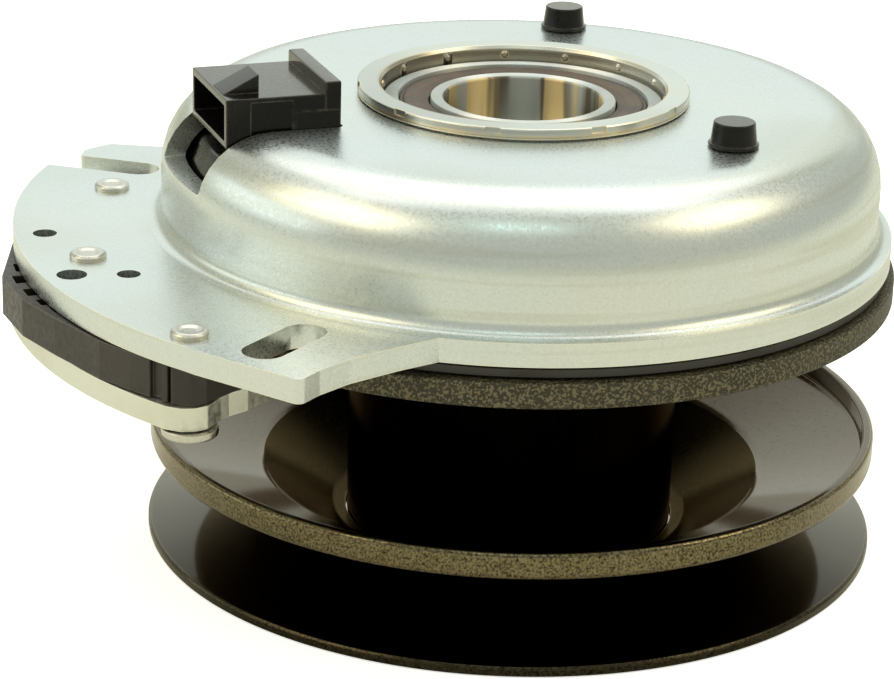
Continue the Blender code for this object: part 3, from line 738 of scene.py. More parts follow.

# %% [markdown]
# The bright metals differ in how they were made. The shell was drawn and then plated, so it
# has streaks, bands and a fine grain. The pole and the races were turned or ground, so
# their highlights stretch across the lines that the tool left. Their bores also get painted
# reflection and shade, golden and dark streaks and bands, and their faces beyond a radius
# are tinted back to the plain colour.

# %% Bright metals
zinc = Finish("zinc_steel", (0.75, 0.79, 0.80), 0.3, metallic=1.0)
zinc_grain = zinc.effect("grain", 1500.0, 0.3, 0.7)
for effect, tint in (
    (("grain", 14.0, 0.35, 0.7), (0.79, 0.80, 0.77)),
    (("streaks", 120.0, 0.5, 0.95), (0.74, 0.76, 0.73)),
    (("bands", 240.0, 0.48, 0.66), (0.67, 0.68, 0.62)),
    (("grain", 1300.0, 0.5, 1.0), (0.62, 0.66, 0.63)),
    # The cream edges are a painted highlight, for rounded edges that catch the light.
    (("edges", 5.0, 120.0), (0.95, 0.90, 0.74)),
):
    zinc.tint(zinc.effect(*effect), tint)
zinc.polish(zinc_grain, 0.25, 0.37)
zinc.lift(zinc_grain, 0.0022)
zinc.lift(zinc.effect("streaks", 300.0, 0.3, 0.9), 0.0025)
zinc.lift(zinc.effect("bands", 200.0, 0.3, 0.8), 0.006)

POLE_BORE = 0.0322
pole = Finish("pole_steel", (0.76, 0.76, 0.71), 0.24, metallic=1.0)
pole_lines = pole.effect("lathe", 5200.0)
# The golden clouds and dark bands are painted reflection and shade on the bore wall; beyond POLE_BORE the
# plain colour covers most of them. The golden edges are a painted highlight.
for effect, tint in (
    (("grain", 60.0, 0.4, 0.7), (0.82, 0.73, 0.56)),
    (("bands", 420.0, 0.42, 0.6), (0.34, 0.31, 0.25)),
    (("rim", POLE_BORE, 0.0), (0.72, 0.75, 0.73)),
    (("edges", 12.0, 200.0), (1.0, 0.80, 0.48)),
):
    pole.tint(pole.effect(*effect), tint)
pole.polish(pole_lines, 0.2, 0.4)
pole.lift(pole_lines, 0.003)
pole.brushed_round(0.5)

RACE_BORE = 0.0178
race = Finish("bearing_steel", (0.74, 0.74, 0.70), 0.3, metallic=1.0)
race_lines = race.effect("lathe", 9000.0)
# Dark and golden streaks are painted shade and painted reflections of the lamps in the bore.
race.tint(race.effect("streaks", 130.0, 0.46, 0.54), (0.26, 0.23, 0.17))
race.tint(race.effect("streaks", 190.0, 0.52, 0.6), (0.95, 0.76, 0.42))
# The even colour of the faces goes on three times, because their mask is only about 0.6;
# it keeps the painted streaks of reflection and shade to the bore.
race_faces = race.effect("rim", RACE_BORE, 0.0)
for _ in range(3):
    race.tint(race_faces, (0.78, 0.79, 0.77))
race.polish(race_lines, 0.42, 0.52)
race.lift(race_lines, 0.001)
race.brushed_round(1.0)

surface(
    "brake_steel", (0.84, 0.83, 0.76), 0.38, ("grain", 700.0, 0.3, 0.7), (0.3, 0.48), 0.006,
    clouds=(45.0, 0.4, 0.7, (0.78, 0.76, 0.66)), edge_wear_and_highlight=(6.0, 150.0, (0.96, 0.93, 0.82)), metallic=0.9,
)
hub = surface(
    "hub_steel", (0.55, 0.54, 0.52), 0.28, ("lathe", 4200.0), (0.2, 0.42), 0.003,
    clouds=(80.0, 0.45, 0.65, (0.42, 0.40, 0.37)), edge_wear_and_highlight=(6.0, 200.0, (0.72, 0.70, 0.66)), metallic=1.0,
)
hub.brushed_round(0.5)
surface(
    "rivet_steel", (0.66, 0.64, 0.58), 0.3, ("grain", 1100.0, 0.3, 0.7), (0.22, 0.42), 0.008,
    edge_wear_and_highlight=(6.0, 300.0, (0.93, 0.80, 0.56)), metallic=1.0,
)
surface(
    "leaf_spring_steel", (0.38, 0.40, 0.45), 0.3, ("grain", 500.0, 0.35, 0.65), (0.22, 0.4), 0.003,
    clouds=(70.0, 0.45, 0.6, (0.46, 0.38, 0.27)), edge_wear_and_highlight=(6.0, 260.0, (0.66, 0.66, 0.66)), metallic=1.0,
)
surface("ball_steel", (0.8, 0.8, 0.8), 0.08, ("grain", 800.0, 0.3, 0.7), (0.05, 0.14), 0.001, metallic=1.0)
surface(
    "terminal_brass", (0.83, 0.66, 0.36), 0.26, ("grain", 700.0, 0.3, 0.7), (0.2, 0.38), 0.003,
    clouds=(160.0, 0.4, 0.7, (0.72, 0.55, 0.30)), metallic=1.0,
)
surface(
    "winding_copper", (0.72, 0.32, 0.14), 0.3, ("lathe", 2400.0), (0.2, 0.45), 0.12,
    clouds=(120.0, 0.4, 0.7, (0.55, 0.21, 0.09)), metallic=1.0, coat=0.6,
)
print("bright metals ready")

# %% [markdown]
# Glossy black paint shows almost nothing head-on and a bright sheen edge-on. So the paint
# below is a nearly black metal, whose own reflection is faint and warm, under a clear coat
# that comes in only at grazing angles. The bowl stays without that coat, because it faces
# the dark gap under the shell, and it keeps the blackest colour as painted shade, while the
# cone outside it is tinted lighter and browner. The steel parts are dull: oiled, dusty or left bare.

# %% Dark metals, paint and plastics
BOWL_EDGE = 0.0565


def black_paint(name, rim_radius, rim_colour, lit_cone_colour):
    """Glossy black paint, thin and brown along the edges and beyond a radius; the cone outside the bowl is
    tinted lighter, and the bowl is left darker as painted shade.
    """
    paint = Finish(name, (0.005, 0.0045, 0.0035), 0.2, metallic=1.0, coat_roughness=0.08)
    paint.give("Specular Tint", (0.85, 0.74, 0.60, 1.0))
    # Painted shade: the bowl keeps the blackest colour and no coat; the cone beyond it gets a lighter
    # colour.
    outside_shaded_bowl = paint.effect("rim", BOWL_EDGE, 0.0)
    paint.gloss_at_grazing(0.34, 0.56, 1.6, outside_shaded_bowl)
    grain = paint.effect("grain", 1500.0, 0.35, 0.7)
    paint.tint(outside_shaded_bowl, lit_cone_colour)
    paint.tint(paint.effect("grain", 1200.0, 0.56, 0.66), (0.012, 0.010, 0.007))
    paint.tint(paint.effect("rim", rim_radius, 2000.0), rim_colour)
    paint.tint(paint.effect("edges", 3.0, 2400.0), (0.30, 0.23, 0.13))
    paint.polish(grain, 0.16, 0.26)
    paint.lift(grain, 0.003)


black_paint("black_paint", 0.0820, (0.07, 0.058, 0.035), (0.018, 0.012, 0.008))
black_paint("rim_paint", 0.0815, (0.25, 0.21, 0.12), (0.085, 0.055, 0.030))

armature_finish = Finish("armature_steel", (0.034, 0.030, 0.016), 0.5, metallic=0.3)
armature_specks = armature_finish.effect("grain", 1700.0, 0.48, 0.6)
armature_finish.tint(armature_finish.effect("grain", 60.0, 0.4, 0.7), (0.048, 0.040, 0.022))
armature_finish.tint(armature_specks, (0.20, 0.17, 0.105))
armature_finish.tint(armature_finish.effect("edges", 3.0, 700.0), (0.20, 0.16, 0.12))
armature_finish.polish(armature_specks, 0.5, 0.7)
armature_finish.lift(armature_specks, 0.03)

surface(
    "rotor_steel", (0.075, 0.070, 0.066), 0.5, ("lathe", 2600.0), (0.38, 0.62), 0.012,
    clouds=(70.0, 0.4, 0.7, (0.05, 0.044, 0.038)), edge_wear_and_highlight=(4.0, 400.0, (0.22, 0.20, 0.17)), metallic=0.7,
)
surface(
    "black_spring_steel", (0.05, 0.05, 0.052), 0.42, ("grain", 900.0, 0.35, 0.7), (0.34, 0.52), 0.005,
    edge_wear_and_highlight=(5.0, 400.0, (0.24, 0.22, 0.20)), metallic=0.8,
)
plastic = surface(
    "black_plastic", (0.005, 0.0045, 0.004), 0.22, ("grain", 1300.0, 0.35, 0.7), (0.18, 0.30), 0.004,
    clouds=(90.0, 0.45, 0.7, (0.010, 0.009, 0.008)), edge_wear_and_highlight=(4.0, 300.0, (0.15, 0.135, 0.115)),
)
plastic.give("Specular IOR Level", 0.3)
plastic.give("Coat Tint", (1.0, 0.93, 0.82, 1.0))
plastic.gloss_at_grazing(0.5, 0.8, 0.8)
surface(
    "holder_plastic", (0.026, 0.019, 0.015), 0.42, ("grain", 900.0, 0.35, 0.7), (0.34, 0.52), 0.01,
    clouds=(60.0, 0.4, 0.7, (0.040, 0.029, 0.022)), edge_wear_and_highlight=(4.0, 300.0, (0.13, 0.10, 0.075)),
    coat=0.1, coat_roughness=0.3,
)
surface(
    "bearing_seal", (0.12, 0.078, 0.052), 0.45, ("lathe", 3000.0), (0.4, 0.6), 0.008,
    clouds=(140.0, 0.4, 0.7, (0.075, 0.055, 0.045)), edge_wear_and_highlight=(10.0, 60.0, (0.012, 0.010, 0.008)),
)
surface(
    "magnet_ferrite", (0.055, 0.052, 0.050), 0.62, ("grain", 800.0, 0.35, 0.65), (0.52, 0.74), 0.02,
    edge_wear_and_highlight=(4.0, 400.0, (0.13, 0.12, 0.115)), metallic=0.2,
)
print(len(FINISHES), "finishes")

# %% [markdown]
# ## The field shell
#
# The shell is a cup drawn from steel sheet, with a large round corner where the punch
# pressed it, and it is joined to a thick stamped plate. The plate is a ring that widens
# into the ear on the left. The ear carries the brake below and has a slot for the bolt
# that keeps the field from turning. Three features matter in reflections: the round
# corner, the small fillet at the wall's foot and the rolled edge of the plate.

# %% The ear's outline
shell_low, shell_high = frame_size("field_shell")
SHELL_TOP = shell_high.z
PLATE_BOTTOM = shell_low.z
PLATE_TOP = PLATE_BOTTOM + 5.2
SHELL_WALL = 79.5
SHELL_INSIDE = 75.0
SHELL_SHEET = 4.5
FLANGE_RADIUS = 82.8
EAR_RADIUS = 112.0
RIVETS = ((-92.1, 10.0), (-91.6, -38.5), (-66.0, -83.6))
RIVET_HOLE = 2.7
PEGS = ((56.0, -39.0), (60.0, 80.0))
PEG_HOLE = 4.6


def ear_outline():
    """The flange ring with the brake ear, its front corner and its open back slot."""
    outline = arc_points((0.0, 0.0), FLANGE_RADIUS, -101.6, 149.0, 130)
    outline += [(-83.9, 43.2, 1.5), (-96.6, 44.4, 2.5), (-101.9, 38.9, 1.2)]
    slot_angle = 163.9
    half = 4.5
    foot = polar(91.0, slot_angle)
    mouth = polar(107.8, slot_angle)
    side = polar(half, slot_angle + 90.0)
    outline.append((mouth[0] - side[0], mouth[1] - side[1], 1.0))
    outline += arc_points(foot, half, slot_angle + 270.0, slot_angle + 90.0, 16)
    outline += arc_points((0.0, 0.0), EAR_RADIUS, 166.3, 233.6, 60)
    outline += [(-64.4, -91.9, 3.0), (-42.9, -106.5, 1.6), (-39.4, -100.9, 3.0)]
    outline += [(-33.9, -94.5, 6.0), (-24.4, -86.6, 12.0)]
    return outline


print("ear drawn with", len(ear_outline()), "corners")

# %% The cup, its plate and their openings
CONNECTOR_ANGLE = 200.2
WINDOW_HALF = 14.2
WINDOW_SILL = 88.6
WINDOW_INNER_END = 46.0

cup_section = [
    (35.3, SHELL_TOP, 0.3),
    (SHELL_WALL, SHELL_TOP, 16.0),
    (SHELL_WALL, PLATE_TOP, 3.0),
    (FLANGE_RADIUS - 0.2, PLATE_TOP, 0.0),
    (FLANGE_RADIUS - 0.2, PLATE_BOTTOM + 2.0, 0.0),
    (SHELL_INSIDE, PLATE_BOTTOM + 2.0, 0.0),
    (SHELL_INSIDE, SHELL_TOP - SHELL_SHEET, 11.5),
    (35.3, SHELL_TOP - SHELL_SHEET, 0.3),
]
shell = turned("field_shell_cup", cup_section)
plate_holes = [
    circle((0.0, 0.0), SHELL_INSIDE - 0.4, 190),
    stadium((-50.7, -91.2), (-43.5, -79.8), 4.5),
    circle((-102.8, -23.4), 2.6),
    circle((-93.6, -49.8), 3.2),
    circle((-81.9, -48.4), 2.5),
]
plate_holes += [circle(place, RIVET_HOLE) for place in RIVETS]
plate = stamped("plate", [ear_outline()] + plate_holes, PLATE_BOTTOM, PLATE_TOP - 0.02, 0.45)
fuse(shell, plate)
window_low = (WINDOW_INNER_END, -WINDOW_HALF, WINDOW_SILL)
window = block("window", window_low, (95.0, WINDOW_HALF, 120.0), CONNECTOR_ANGLE, 0.8)
carve(shell, window)
for radius, angle in PEGS:
    carve(shell, stamped("peg_hole", [circle(polar(radius, angle), PEG_HOLE)], 90.0, 110.0))
finish_piece(shell, "zinc_steel", "field", "field_shell")
print("shell faces:", len(shell.data.polygons))

# %% [markdown]
# ## The inner pole
#
# The pole is a machined tube in the middle of the field, with a neck through the shell.
# Its head is swaged outwards over the shell, which leaves shallow crimps round its edge,
# and small stakes round its mouth keep the bearing in. The cuts below are that tooling.

# %% The pole with its crimps and stakes
pole_low, pole_high = frame_size("inner_pole")
race_low, race_high = frame_size("field_bearing_outer_race")
POLE_RADIUS = pole_high.x
POLE_TOP = pole_high.z
SEAT_RADIUS = race_high.x + 0.25
BEARING_FLOOR = race_low.z - 0.3
UNDER_SHELL = SHELL_TOP - SHELL_SHEET - 0.3
pole_section = [
    (SEAT_RADIUS + 0.6, POLE_TOP, 0.2),
    (POLE_RADIUS, POLE_TOP, 0.5),
    (POLE_RADIUS, SHELL_TOP + 0.3, 0.2),
    (35.0, SHELL_TOP + 0.3, 0.0),
    (35.0, UNDER_SHELL, 0.0),
    (POLE_RADIUS, UNDER_SHELL, 0.0),
    (POLE_RADIUS, pole_low.z, 0.4),
    (28.5, pole_low.z, 0.4),
    (28.5, BEARING_FLOOR, 0.3),
    (SEAT_RADIUS, BEARING_FLOOR, 0.0),
    (SEAT_RADIUS, POLE_TOP - 0.7, 0.3),
]
inner_pole = turned("inner_pole_tube", pole_section)
STAKES = 14
STAKE_HEIGHT = 101.9
STAKE_RADIUS = 0.95
CRIMPS = 10
crimps = []
for number in range(CRIMPS):
    angle = 7.0 + 360.0 * number / CRIMPS
    low = (POLE_RADIUS - 0.4, -1.7, SHELL_TOP + 1.4)
    crimps.append(block("crimp", low, (POLE_RADIUS + 2.0, 1.7, POLE_TOP + 1.0), angle, 0.15))
groove_low, groove_high = SHELL_TOP + 0.75, SHELL_TOP + 1.15
groove = race_section(POLE_RADIUS - 0.35, POLE_RADIUS + 1.0, groove_low, groove_high, 0.1, 0.1)
carve(inner_pole, turned("edge_groove", groove))
carve(inner_pole, gather("crimping_tool", crimps))
stakes = bpy.data.meshes.new("stakes")
add_balls(stakes, STAKES, 20.0, SEAT_RADIUS + 0.35, STAKE_HEIGHT, STAKE_RADIUS)
fuse(inner_pole, place_mesh("stakes", stakes))
finish_piece(inner_pole, "pole_steel", "field", "inner_pole")
print("pole with", STAKES, "stakes and", CRIMPS, "crimps")

# %% [markdown]
# ## The coil housing, the socket and the pegs
#
# The coil lies in a moulded ring inside the shell. Three things stand up from the moulding
# through the shell: the socket for the wiring plug and two pegs with a thin lip. The
# socket is drawn along its own direction, outwards from the shaft, and then turned to its
# place. Its side wall steps three times: a wide mouth, a shallow panel and a thick pad.

# %% The ring that holds the coil
HOUSING_BOTTOM = frame_size("coil_housing")[0].z
HOUSING_TOP = 96.4
HOUSING_OUTER = 74.6
housing_section = [
    (63.0, HOUSING_TOP, 1.5),
    (71.2, 93.1, 3.0),
    (HOUSING_OUTER, 85.3, 3.0),
    (HOUSING_OUTER, HOUSING_BOTTOM, 0.4),
    (72.6, HOUSING_BOTTOM, 0.4),
    (72.6, 85.0, 0.0),
    (69.8, 91.6, 0.0),
    (62.5, HOUSING_TOP - 2.4, 0.0),
    (39.5, HOUSING_TOP - 2.4, 0.0),
    (39.5, HOUSING_BOTTOM, 0.4),
    (37.0, HOUSING_BOTTOM, 0.4),
    (37.0, HOUSING_TOP, 0.4),
]
housing = turned("coil_housing_ring", housing_section)
pedestal = block("pedestal", (48.0, -12.5, 94.6), (63.5, 12.5, 98.6), CONNECTOR_ANGLE, 0.5)
fuse(housing, pedestal)
finish_piece(housing, "black_plastic", "field", "coil_housing")
print("housing faces:", len(housing.data.polygons))

# %% The plug socket
SOCKET_MOUTH = 71.6
SOCKET_BOTTOM = 97.9
SOCKET_TOP = 108.6
SOCKET_HALF = 13.6
SOCKET_WALL = 1.4
PANEL_DEPTH = 0.45


def build_socket():
    """The socket with its stepped sides, thick rear wall and latch ramp."""
    low = (49.7, -SOCKET_HALF, SOCKET_BOTTOM)
    socket = block("plug_socket", low, (SOCKET_MOUTH, SOCKET_HALF, SOCKET_TOP), 0.0, 0.35)
    inner = SOCKET_HALF - PANEL_DEPTH
    for side in (1, -1):
        ends = sorted((side * inner, side * (SOCKET_HALF + 1.0)))
        panel_low = (57.0, ends[0], SOCKET_BOTTOM + 1.3)
        carve(socket, block("panel", panel_low, (66.2, ends[1], SOCKET_TOP - 1.0), 0.0, 0.15))
    pads = block("pads", (46.7, -14.0, 100.2), (56.5, 14.0, 105.2), 0.0, 0.4)
    fuse(socket, pads)
    rear = block("rear", (46.45, -13.8, SOCKET_BOTTOM), (49.95, 13.8, 111.2), 0.0, 0.4)
    fuse(socket, rear)
    ledge_low = (46.3, -11.5, 107.2)
    carve(socket, block("ledge", ledge_low, (46.8, 11.5, 109.8), 0.0, 0.1))
    latch = block("latch", (63.3, 1.5, 107.6), (71.2, 9.5, 112.6), 0.0)
    for vertex in latch.data.vertices:
        if vertex.co.x > 0.07 and vertex.co.z > 0.11:
            vertex.co.z = (SOCKET_TOP + 0.1) * MM
    soften(latch, 0.25, angle=20)
    fuse(socket, latch)
    wall = SOCKET_HALF - SOCKET_WALL
    cavity_low = (53.5, -wall, SOCKET_BOTTOM + SOCKET_WALL)
    cavity_high = (SOCKET_MOUTH + 5.0, wall, SOCKET_TOP - SOCKET_WALL)
    carve(socket, block("cavity", cavity_low, cavity_high, 0.0, 0.5))
    for across in (-6.0, 6.0):
        slot_low = (50.7, across - 3.5, 102.5)
        carve(socket, block("blade_slot", slot_low, (60.0, across + 3.5, 103.9)))
    return socket


socket = build_socket()
socket.data.transform(Matrix.Rotation(math.radians(CONNECTOR_ANGLE), 4, "Z"))
finish_piece(socket, "black_plastic", "field", "coil_housing")
print("socket faces:", len(socket.data.polygons))

# %% The two pegs
PEG_TOP = 106.8
peg_section = [
    (0.0, PEG_TOP, 0.0),
    (4.4, PEG_TOP, 0.35),
    (4.95, SHELL_TOP + 1.0, 0.15),
    (5.4, SHELL_TOP + 0.95, 0.25),
    (5.4, SHELL_TOP + 0.3, 0.1),
    (4.2, SHELL_TOP + 0.3, 0.0),
    (4.2, 95.0, 0.0),
    (0.0, 95.0, 0.0),
]
for number, (radius, angle) in enumerate(PEGS, 1):
    peg = turned(f"peg_{number}", peg_section, SMALL_STEPS, closed=False, place=polar(radius, angle))
    finish_piece(peg, "black_plastic", "field", "coil_housing")
print("pegs:", len(PEGS))

# %% [markdown]
# ## The two bearings
#
# Both are sealed ball bearings of one standard size. The upper one sits in the pole and
# its ground faces and brown rubber seal show from above. The lower one carries the pulley
# on the rotor's hub. The balls and their cage are one ring, as in the frame.

# %% Races, seals and balls
BEARING_BORE = 17.5
INNER_RACE = 20.4
OUTER_RACE = 27.6
BALL_PITCH = 24.0
BALL_RADIUS = 3.2
BALL_COUNT = 9


def seal_section(face, inwards):
    """A rubber seal with a lip at each edge; inwards is -1 for the upper one, 1 for the lower."""
    return [
        (20.8, face + 1.4 * inwards, 0.0),
        (20.8, face + 1.0 * inwards, 0.1),
        (21.7, face + 0.6 * inwards, 0.2),
        (22.3, face + 0.8 * inwards, 0.2),
        (23.0, face + 0.5 * inwards, 0.2),
        (26.2, face + 0.5 * inwards, 0.2),
        (26.6, face + 0.9 * inwards, 0.15),
        (27.2, face + 0.7 * inwards, 0.1),
        (27.2, face + 1.4 * inwards, 0.0),
    ]


def build_bearing(prefix, outer_body, inner_body, cage_body):
    """One bearing, from the places of its races in the frame."""
    low, high = frame_size(prefix + "_outer_race")
    bottom, top = low.z, high.z
    radius = high.x
    outer = turned(prefix + "_ring_outer", race_section(OUTER_RACE, radius, bottom, top, 0.2, 0.9))
    finish_piece(outer, "bearing_steel", outer_body, prefix + "_outer_race")
    section = race_section(BEARING_BORE, INNER_RACE, bottom, top, 0.7, 0.2)
    inner = turned(prefix + "_ring_inner", section)
    finish_piece(inner, "bearing_steel", inner_body, prefix + "_inner_race")
    for side, face, inwards in (("upper", top, -1), ("lower", bottom, 1)):
        lip = turned(f"{prefix}_lip_{side}", seal_section(face, inwards))
        finish_piece(lip, "bearing_seal", outer_body, f"{prefix}_{side}_seal")
    middle = (bottom + top) / 2
    cage = turned(prefix + "_cage", race_section(23.1, 24.9, middle - 1.1, middle + 1.1, 0.2, 0.2))
    add_balls(cage.data, BALL_COUNT, 5.0, BALL_PITCH, middle, BALL_RADIUS)
    finish_piece(cage, "ball_steel", cage_body, prefix + "_balls")


build_bearing("field_bearing", "field", "rotor", "field_cage")
build_bearing("pulley_bearing", "pulley", "rotor", "pulley_cage")
print("two bearings with", BALL_COUNT, "balls each")

# %% [markdown]
# ## The rotor
#
# The rotor turns with the crankshaft: a keyed hub, a spacer below it, and a disc with two
# pole rings that reach up beside the coil. Curved slots split the disc so that the
# magnetism has to pass through the armature. A retaining ring closes the hub's lower end.

# %% Disc, hub, spacer and retaining ring
rotor_low, rotor_high = frame_size("rotor_disc")
hub_low, hub_high = frame_size("rotor_hub")
ROTOR_FACE = rotor_low.z
HUB_RADIUS = 17.2
SHAFT_RADIUS = 14.29
KEY_HALF = 3.175
KEY_TOP = 16.4


def banana(name, radius, half, start, end, bottom, top):
    """A curved slot's cutter along an arc round the shaft; the angles are in degrees."""
    outline = arc_points((0.0, 0.0), radius + half, start, end, 20)
    middle = polar(radius, end)
    outline += arc_points(middle, half, end, end + 180.0, 8)[1:-1]
    outline += arc_points((0.0, 0.0), radius - half, end, start, 20)
    middle = polar(radius, start)
    outline += arc_points(middle, half, start + 180.0, start + 360.0, 8)[1:-1]
    return stamped(name, [outline], bottom, top)


disc_section = [
    (74.3, rotor_high.z - 1.6, 0.6),
    (74.3, 67.9, 0.4),
    (rotor_high.x, 67.9, 0.3),
    (rotor_high.x, ROTOR_FACE, 0.3),
    (26.0, ROTOR_FACE, 0.2),
    (26.0, rotor_high.z, 0.4),
    (36.4, rotor_high.z, 0.4),
    (36.4, 70.4, 0.8),
    (66.3, 70.4, 0.8),
    (66.3, rotor_high.z - 1.6, 0.6),
]
disc = turned("rotor_plate", disc_section)
slots = [banana("slot", 55.5, 1.5, 60.0 * n + 10.0, 60.0 * n + 50.0, 60.0, 80.0) for n in range(6)]
carve(disc, gather("rotor_slots", slots))
finish_piece(disc, "rotor_steel", "rotor", "rotor_disc")

hub_section = [
    (HUB_RADIUS, hub_high.z, 0.6),
    (HUB_RADIUS, BEARING_FLOOR, 0.0),
    (20.0, BEARING_FLOOR, 0.3),
    (20.0, 76.5, 1.2),
    (25.7, 76.5, 0.4),
    (25.7, ROTOR_FACE, 0.2),
    (HUB_RADIUS, ROTOR_FACE, 0.0),
    (HUB_RADIUS, 7.8, 0.0),
    (15.6, 7.8, 0.1),
    (15.6, 5.9, 0.1),
    (HUB_RADIUS, 5.9, 0.0),
    (HUB_RADIUS, hub_low.z, 0.5),
    (SHAFT_RADIUS, hub_low.z, 0.4),
    (SHAFT_RADIUS, hub_high.z, 0.4),
]
hub_piece = turned("rotor_hub_tube", hub_section)
carve(hub_piece, block("keyway", (-KEY_HALF, 5.0, -10.0), (KEY_HALF, KEY_TOP, 100.0)))
finish_piece(hub_piece, "hub_steel", "rotor", "rotor_hub")

spacer_low, spacer_high = frame_size("bearing_spacer")
section = race_section(BEARING_BORE, spacer_high.x, spacer_low.z, spacer_high.z, 0.3, 0.3)
finish_piece(turned("spacer_tube", section), "hub_steel", "rotor", "bearing_spacer")


def c_ring(name, inner, outer, bottom, top, opening):
    """A retaining ring, open over an angle in degrees."""
    outline = arc_points((0.0, 0.0), outer, opening / 2, 360.0 - opening / 2, 72)
    outline += arc_points((0.0, 0.0), inner, 360.0 - opening / 2, opening / 2, 72)
    return stamped(name, [outline], bottom, top, 0.15)


snap_ring = c_ring("hub_snap_ring", 15.9, 19.0, 6.1, 7.6, 60.0)
finish_piece(snap_ring, "black_spring_steel", "rotor", "hub_retaining_ring")
print("rotor pieces ready")

# %% [markdown]
# ## The pulley
#
# The pulley is a drum with two pressed flanges that form the V for the belt. The upper
# flange folds down into a bowl round the drum, and its rim turns up into a short lip. All
# of it is painted black after pressing, so it is glossy on the slopes and thin and brown
# where the paint draws back from the edges.

# %% Drum and flanges
SLOPE = math.tan(math.radians(17.5))
PRESSED_SHEET = 2.3
BOWL_RADIUS = 57.0
BOWL_HEIGHT = 16.0
BOWL_SLOPE = 0.769
FOOT_TOP = 3.2
drum_low, drum_high = frame_size("pulley_hub")
upper_high = frame_size("pulley_upper_flange")[1]
lower_high = frame_size("pulley_lower_flange")[1]
DRUM_RADIUS = 37.3
SEAT_FLOOR = frame_size("pulley_bearing_outer_race")[1].z + 0.3


def cone_height(radius, drop=0.0):
    """Height of the upper flange's cone at a radius, lowered by a drop."""
    return BOWL_HEIGHT + (radius - BOWL_RADIUS) * SLOPE - drop


def bowl_radius(height, drop=0.0):
    """Radius of the bowl's wall at a height, on the surface lowered by a drop."""
    return BOWL_RADIUS + (height + drop - BOWL_HEIGHT) / BOWL_SLOPE


drum_section = [
    (drum_high.x, drum_high.z, 0.6),
    (drum_high.x, drum_high.z - 3.0, 0.6),
    (DRUM_RADIUS, drum_high.z - 3.0, 1.8),
    (DRUM_RADIUS, drum_low.z, 0.4),
    (SEAT_RADIUS, drum_low.z, 0.3),
    (SEAT_RADIUS, 5.4, 0.0),
    (32.9, 5.4, 0.1),
    (32.9, 7.5, 0.1),
    (SEAT_RADIUS, 7.5, 0.0),
    (SEAT_RADIUS, SEAT_FLOOR, 0.0),
    (28.6, SEAT_FLOOR, 0.2),
    (28.6, SEAT_FLOOR + 3.0, 0.2),
    (31.5, SEAT_FLOOR + 3.0, 0.5),
    (31.5, drum_high.z, 0.5),
]
drum = turned("pulley_drum", drum_section)

cone_drop = PRESSED_SHEET / math.cos(math.atan(SLOPE))
bowl_drop = PRESSED_SHEET / math.cos(math.atan(BOWL_SLOPE))
under_edge = BOWL_RADIUS + (bowl_drop - cone_drop) / (BOWL_SLOPE - SLOPE)
foot_bottom = FOOT_TOP - PRESSED_SHEET
upper_section = [
    (79.9, upper_high.z, 0.7),
    (upper_high.x, upper_high.z, 1.1),
    (upper_high.x, 21.9, 1.9),
    (80.4, cone_height(80.4, cone_drop), 0.6),
    (under_edge, cone_height(under_edge, cone_drop), 8.5),
    (bowl_radius(foot_bottom, bowl_drop), foot_bottom, 3.0),
    (DRUM_RADIUS + 0.3, foot_bottom, 0.0),
    (DRUM_RADIUS + 0.3, FOOT_TOP, 0.0),
    (bowl_radius(FOOT_TOP), FOOT_TOP, 2.5),
    (BOWL_RADIUS, BOWL_HEIGHT, 7.0),
    (79.9, cone_height(79.9), 0.9),
]
upper_flange = turned("belt_flange_upper", upper_section)
finish_piece(upper_flange, "rim_paint", "pulley", "pulley_upper_flange", slot="black_paint")

lower_section = [
    (82.5, 2.3, 0.5),
    (lower_high.x, 1.8, 0.4),
    (lower_high.x, 0.3, 0.4),
    (82.3, 0.0, 0.3),
    (52.9, (82.0 - 52.9) * SLOPE, 0.0),
    (54.9, 2.3 + (82.4 - 54.9) * SLOPE, 0.2),
]
lower_flange = turned("belt_flange_lower", lower_section)
finish_piece(lower_flange, "black_paint", "pulley", "pulley_lower_flange")

inner_ring = c_ring("pulley_snap_ring", 28.8, 32.6, 5.7, 7.2, 36.0)
finish_piece(inner_ring, "black_spring_steel", "pulley", "pulley_retaining_ring")
print("pulley flanges ready")

# %% [markdown]
# ## The armature and its leaf springs
#
# The armature is a flat ring of dark, unpainted steel. Three leaf springs under it carry
# it on the drum's flange and pull it back down when the coil lets go. Each spring has one
# rivet in the drum and one shouldered rivet in the armature. Its ends stay flat under the
# rivets, and only the length between them bends when the armature rises.

# %% Springs, rivets and the armature
SPRINGS = 3
SPRING_START = 15.0
SPRING_SWEEP = 64.0
SPRING_RIVET_CIRCLE = 44.0
ARMATURE_RIVET_CIRCLE = 62.0
armature_low, armature_high = frame_size("armature_plate")
spring_low, spring_high = frame_size("leaf_spring_1")
SPRING_HALF_WIDTH = 6.5
CLAMPED_LENGTH = 6.6
HEAD_RECESS = 4.6
SHANK = 2.4
plate_rivet_section = [
    (0.0, 65.0, 0.0),
    (4.3, 65.0, 0.4),
    (4.3, 63.4, 0.2),
    (SHANK, 63.4, 0.0),
    (SHANK, armature_low.z - 0.3, 0.0),
    (4.5, armature_low.z - 0.3, 0.2),
    (4.5, spring_high.z + 0.3, 0.2),
    (SHANK, spring_high.z + 0.3, 0.0),
    (SHANK, spring_low.z - 0.3, 0.0),
    (4.3, spring_low.z - 0.3, 0.2),
    (3.9, 54.9, 0.5),
    (0.0, 54.9, 0.0),
]
drum_rivet_section = [
    (0.0, 59.1, 0.0),
    (4.2, 59.1, 0.5),
    (4.2, spring_high.z + 0.3, 0.1),
    (SHANK, spring_high.z + 0.3, 0.0),
    (SHANK, drum_high.z - 3.3, 0.0),
    (4.2, drum_high.z - 3.3, 0.2),
    (4.2, 51.4, 0.6),
    (0.0, 51.4, 0.0),
]
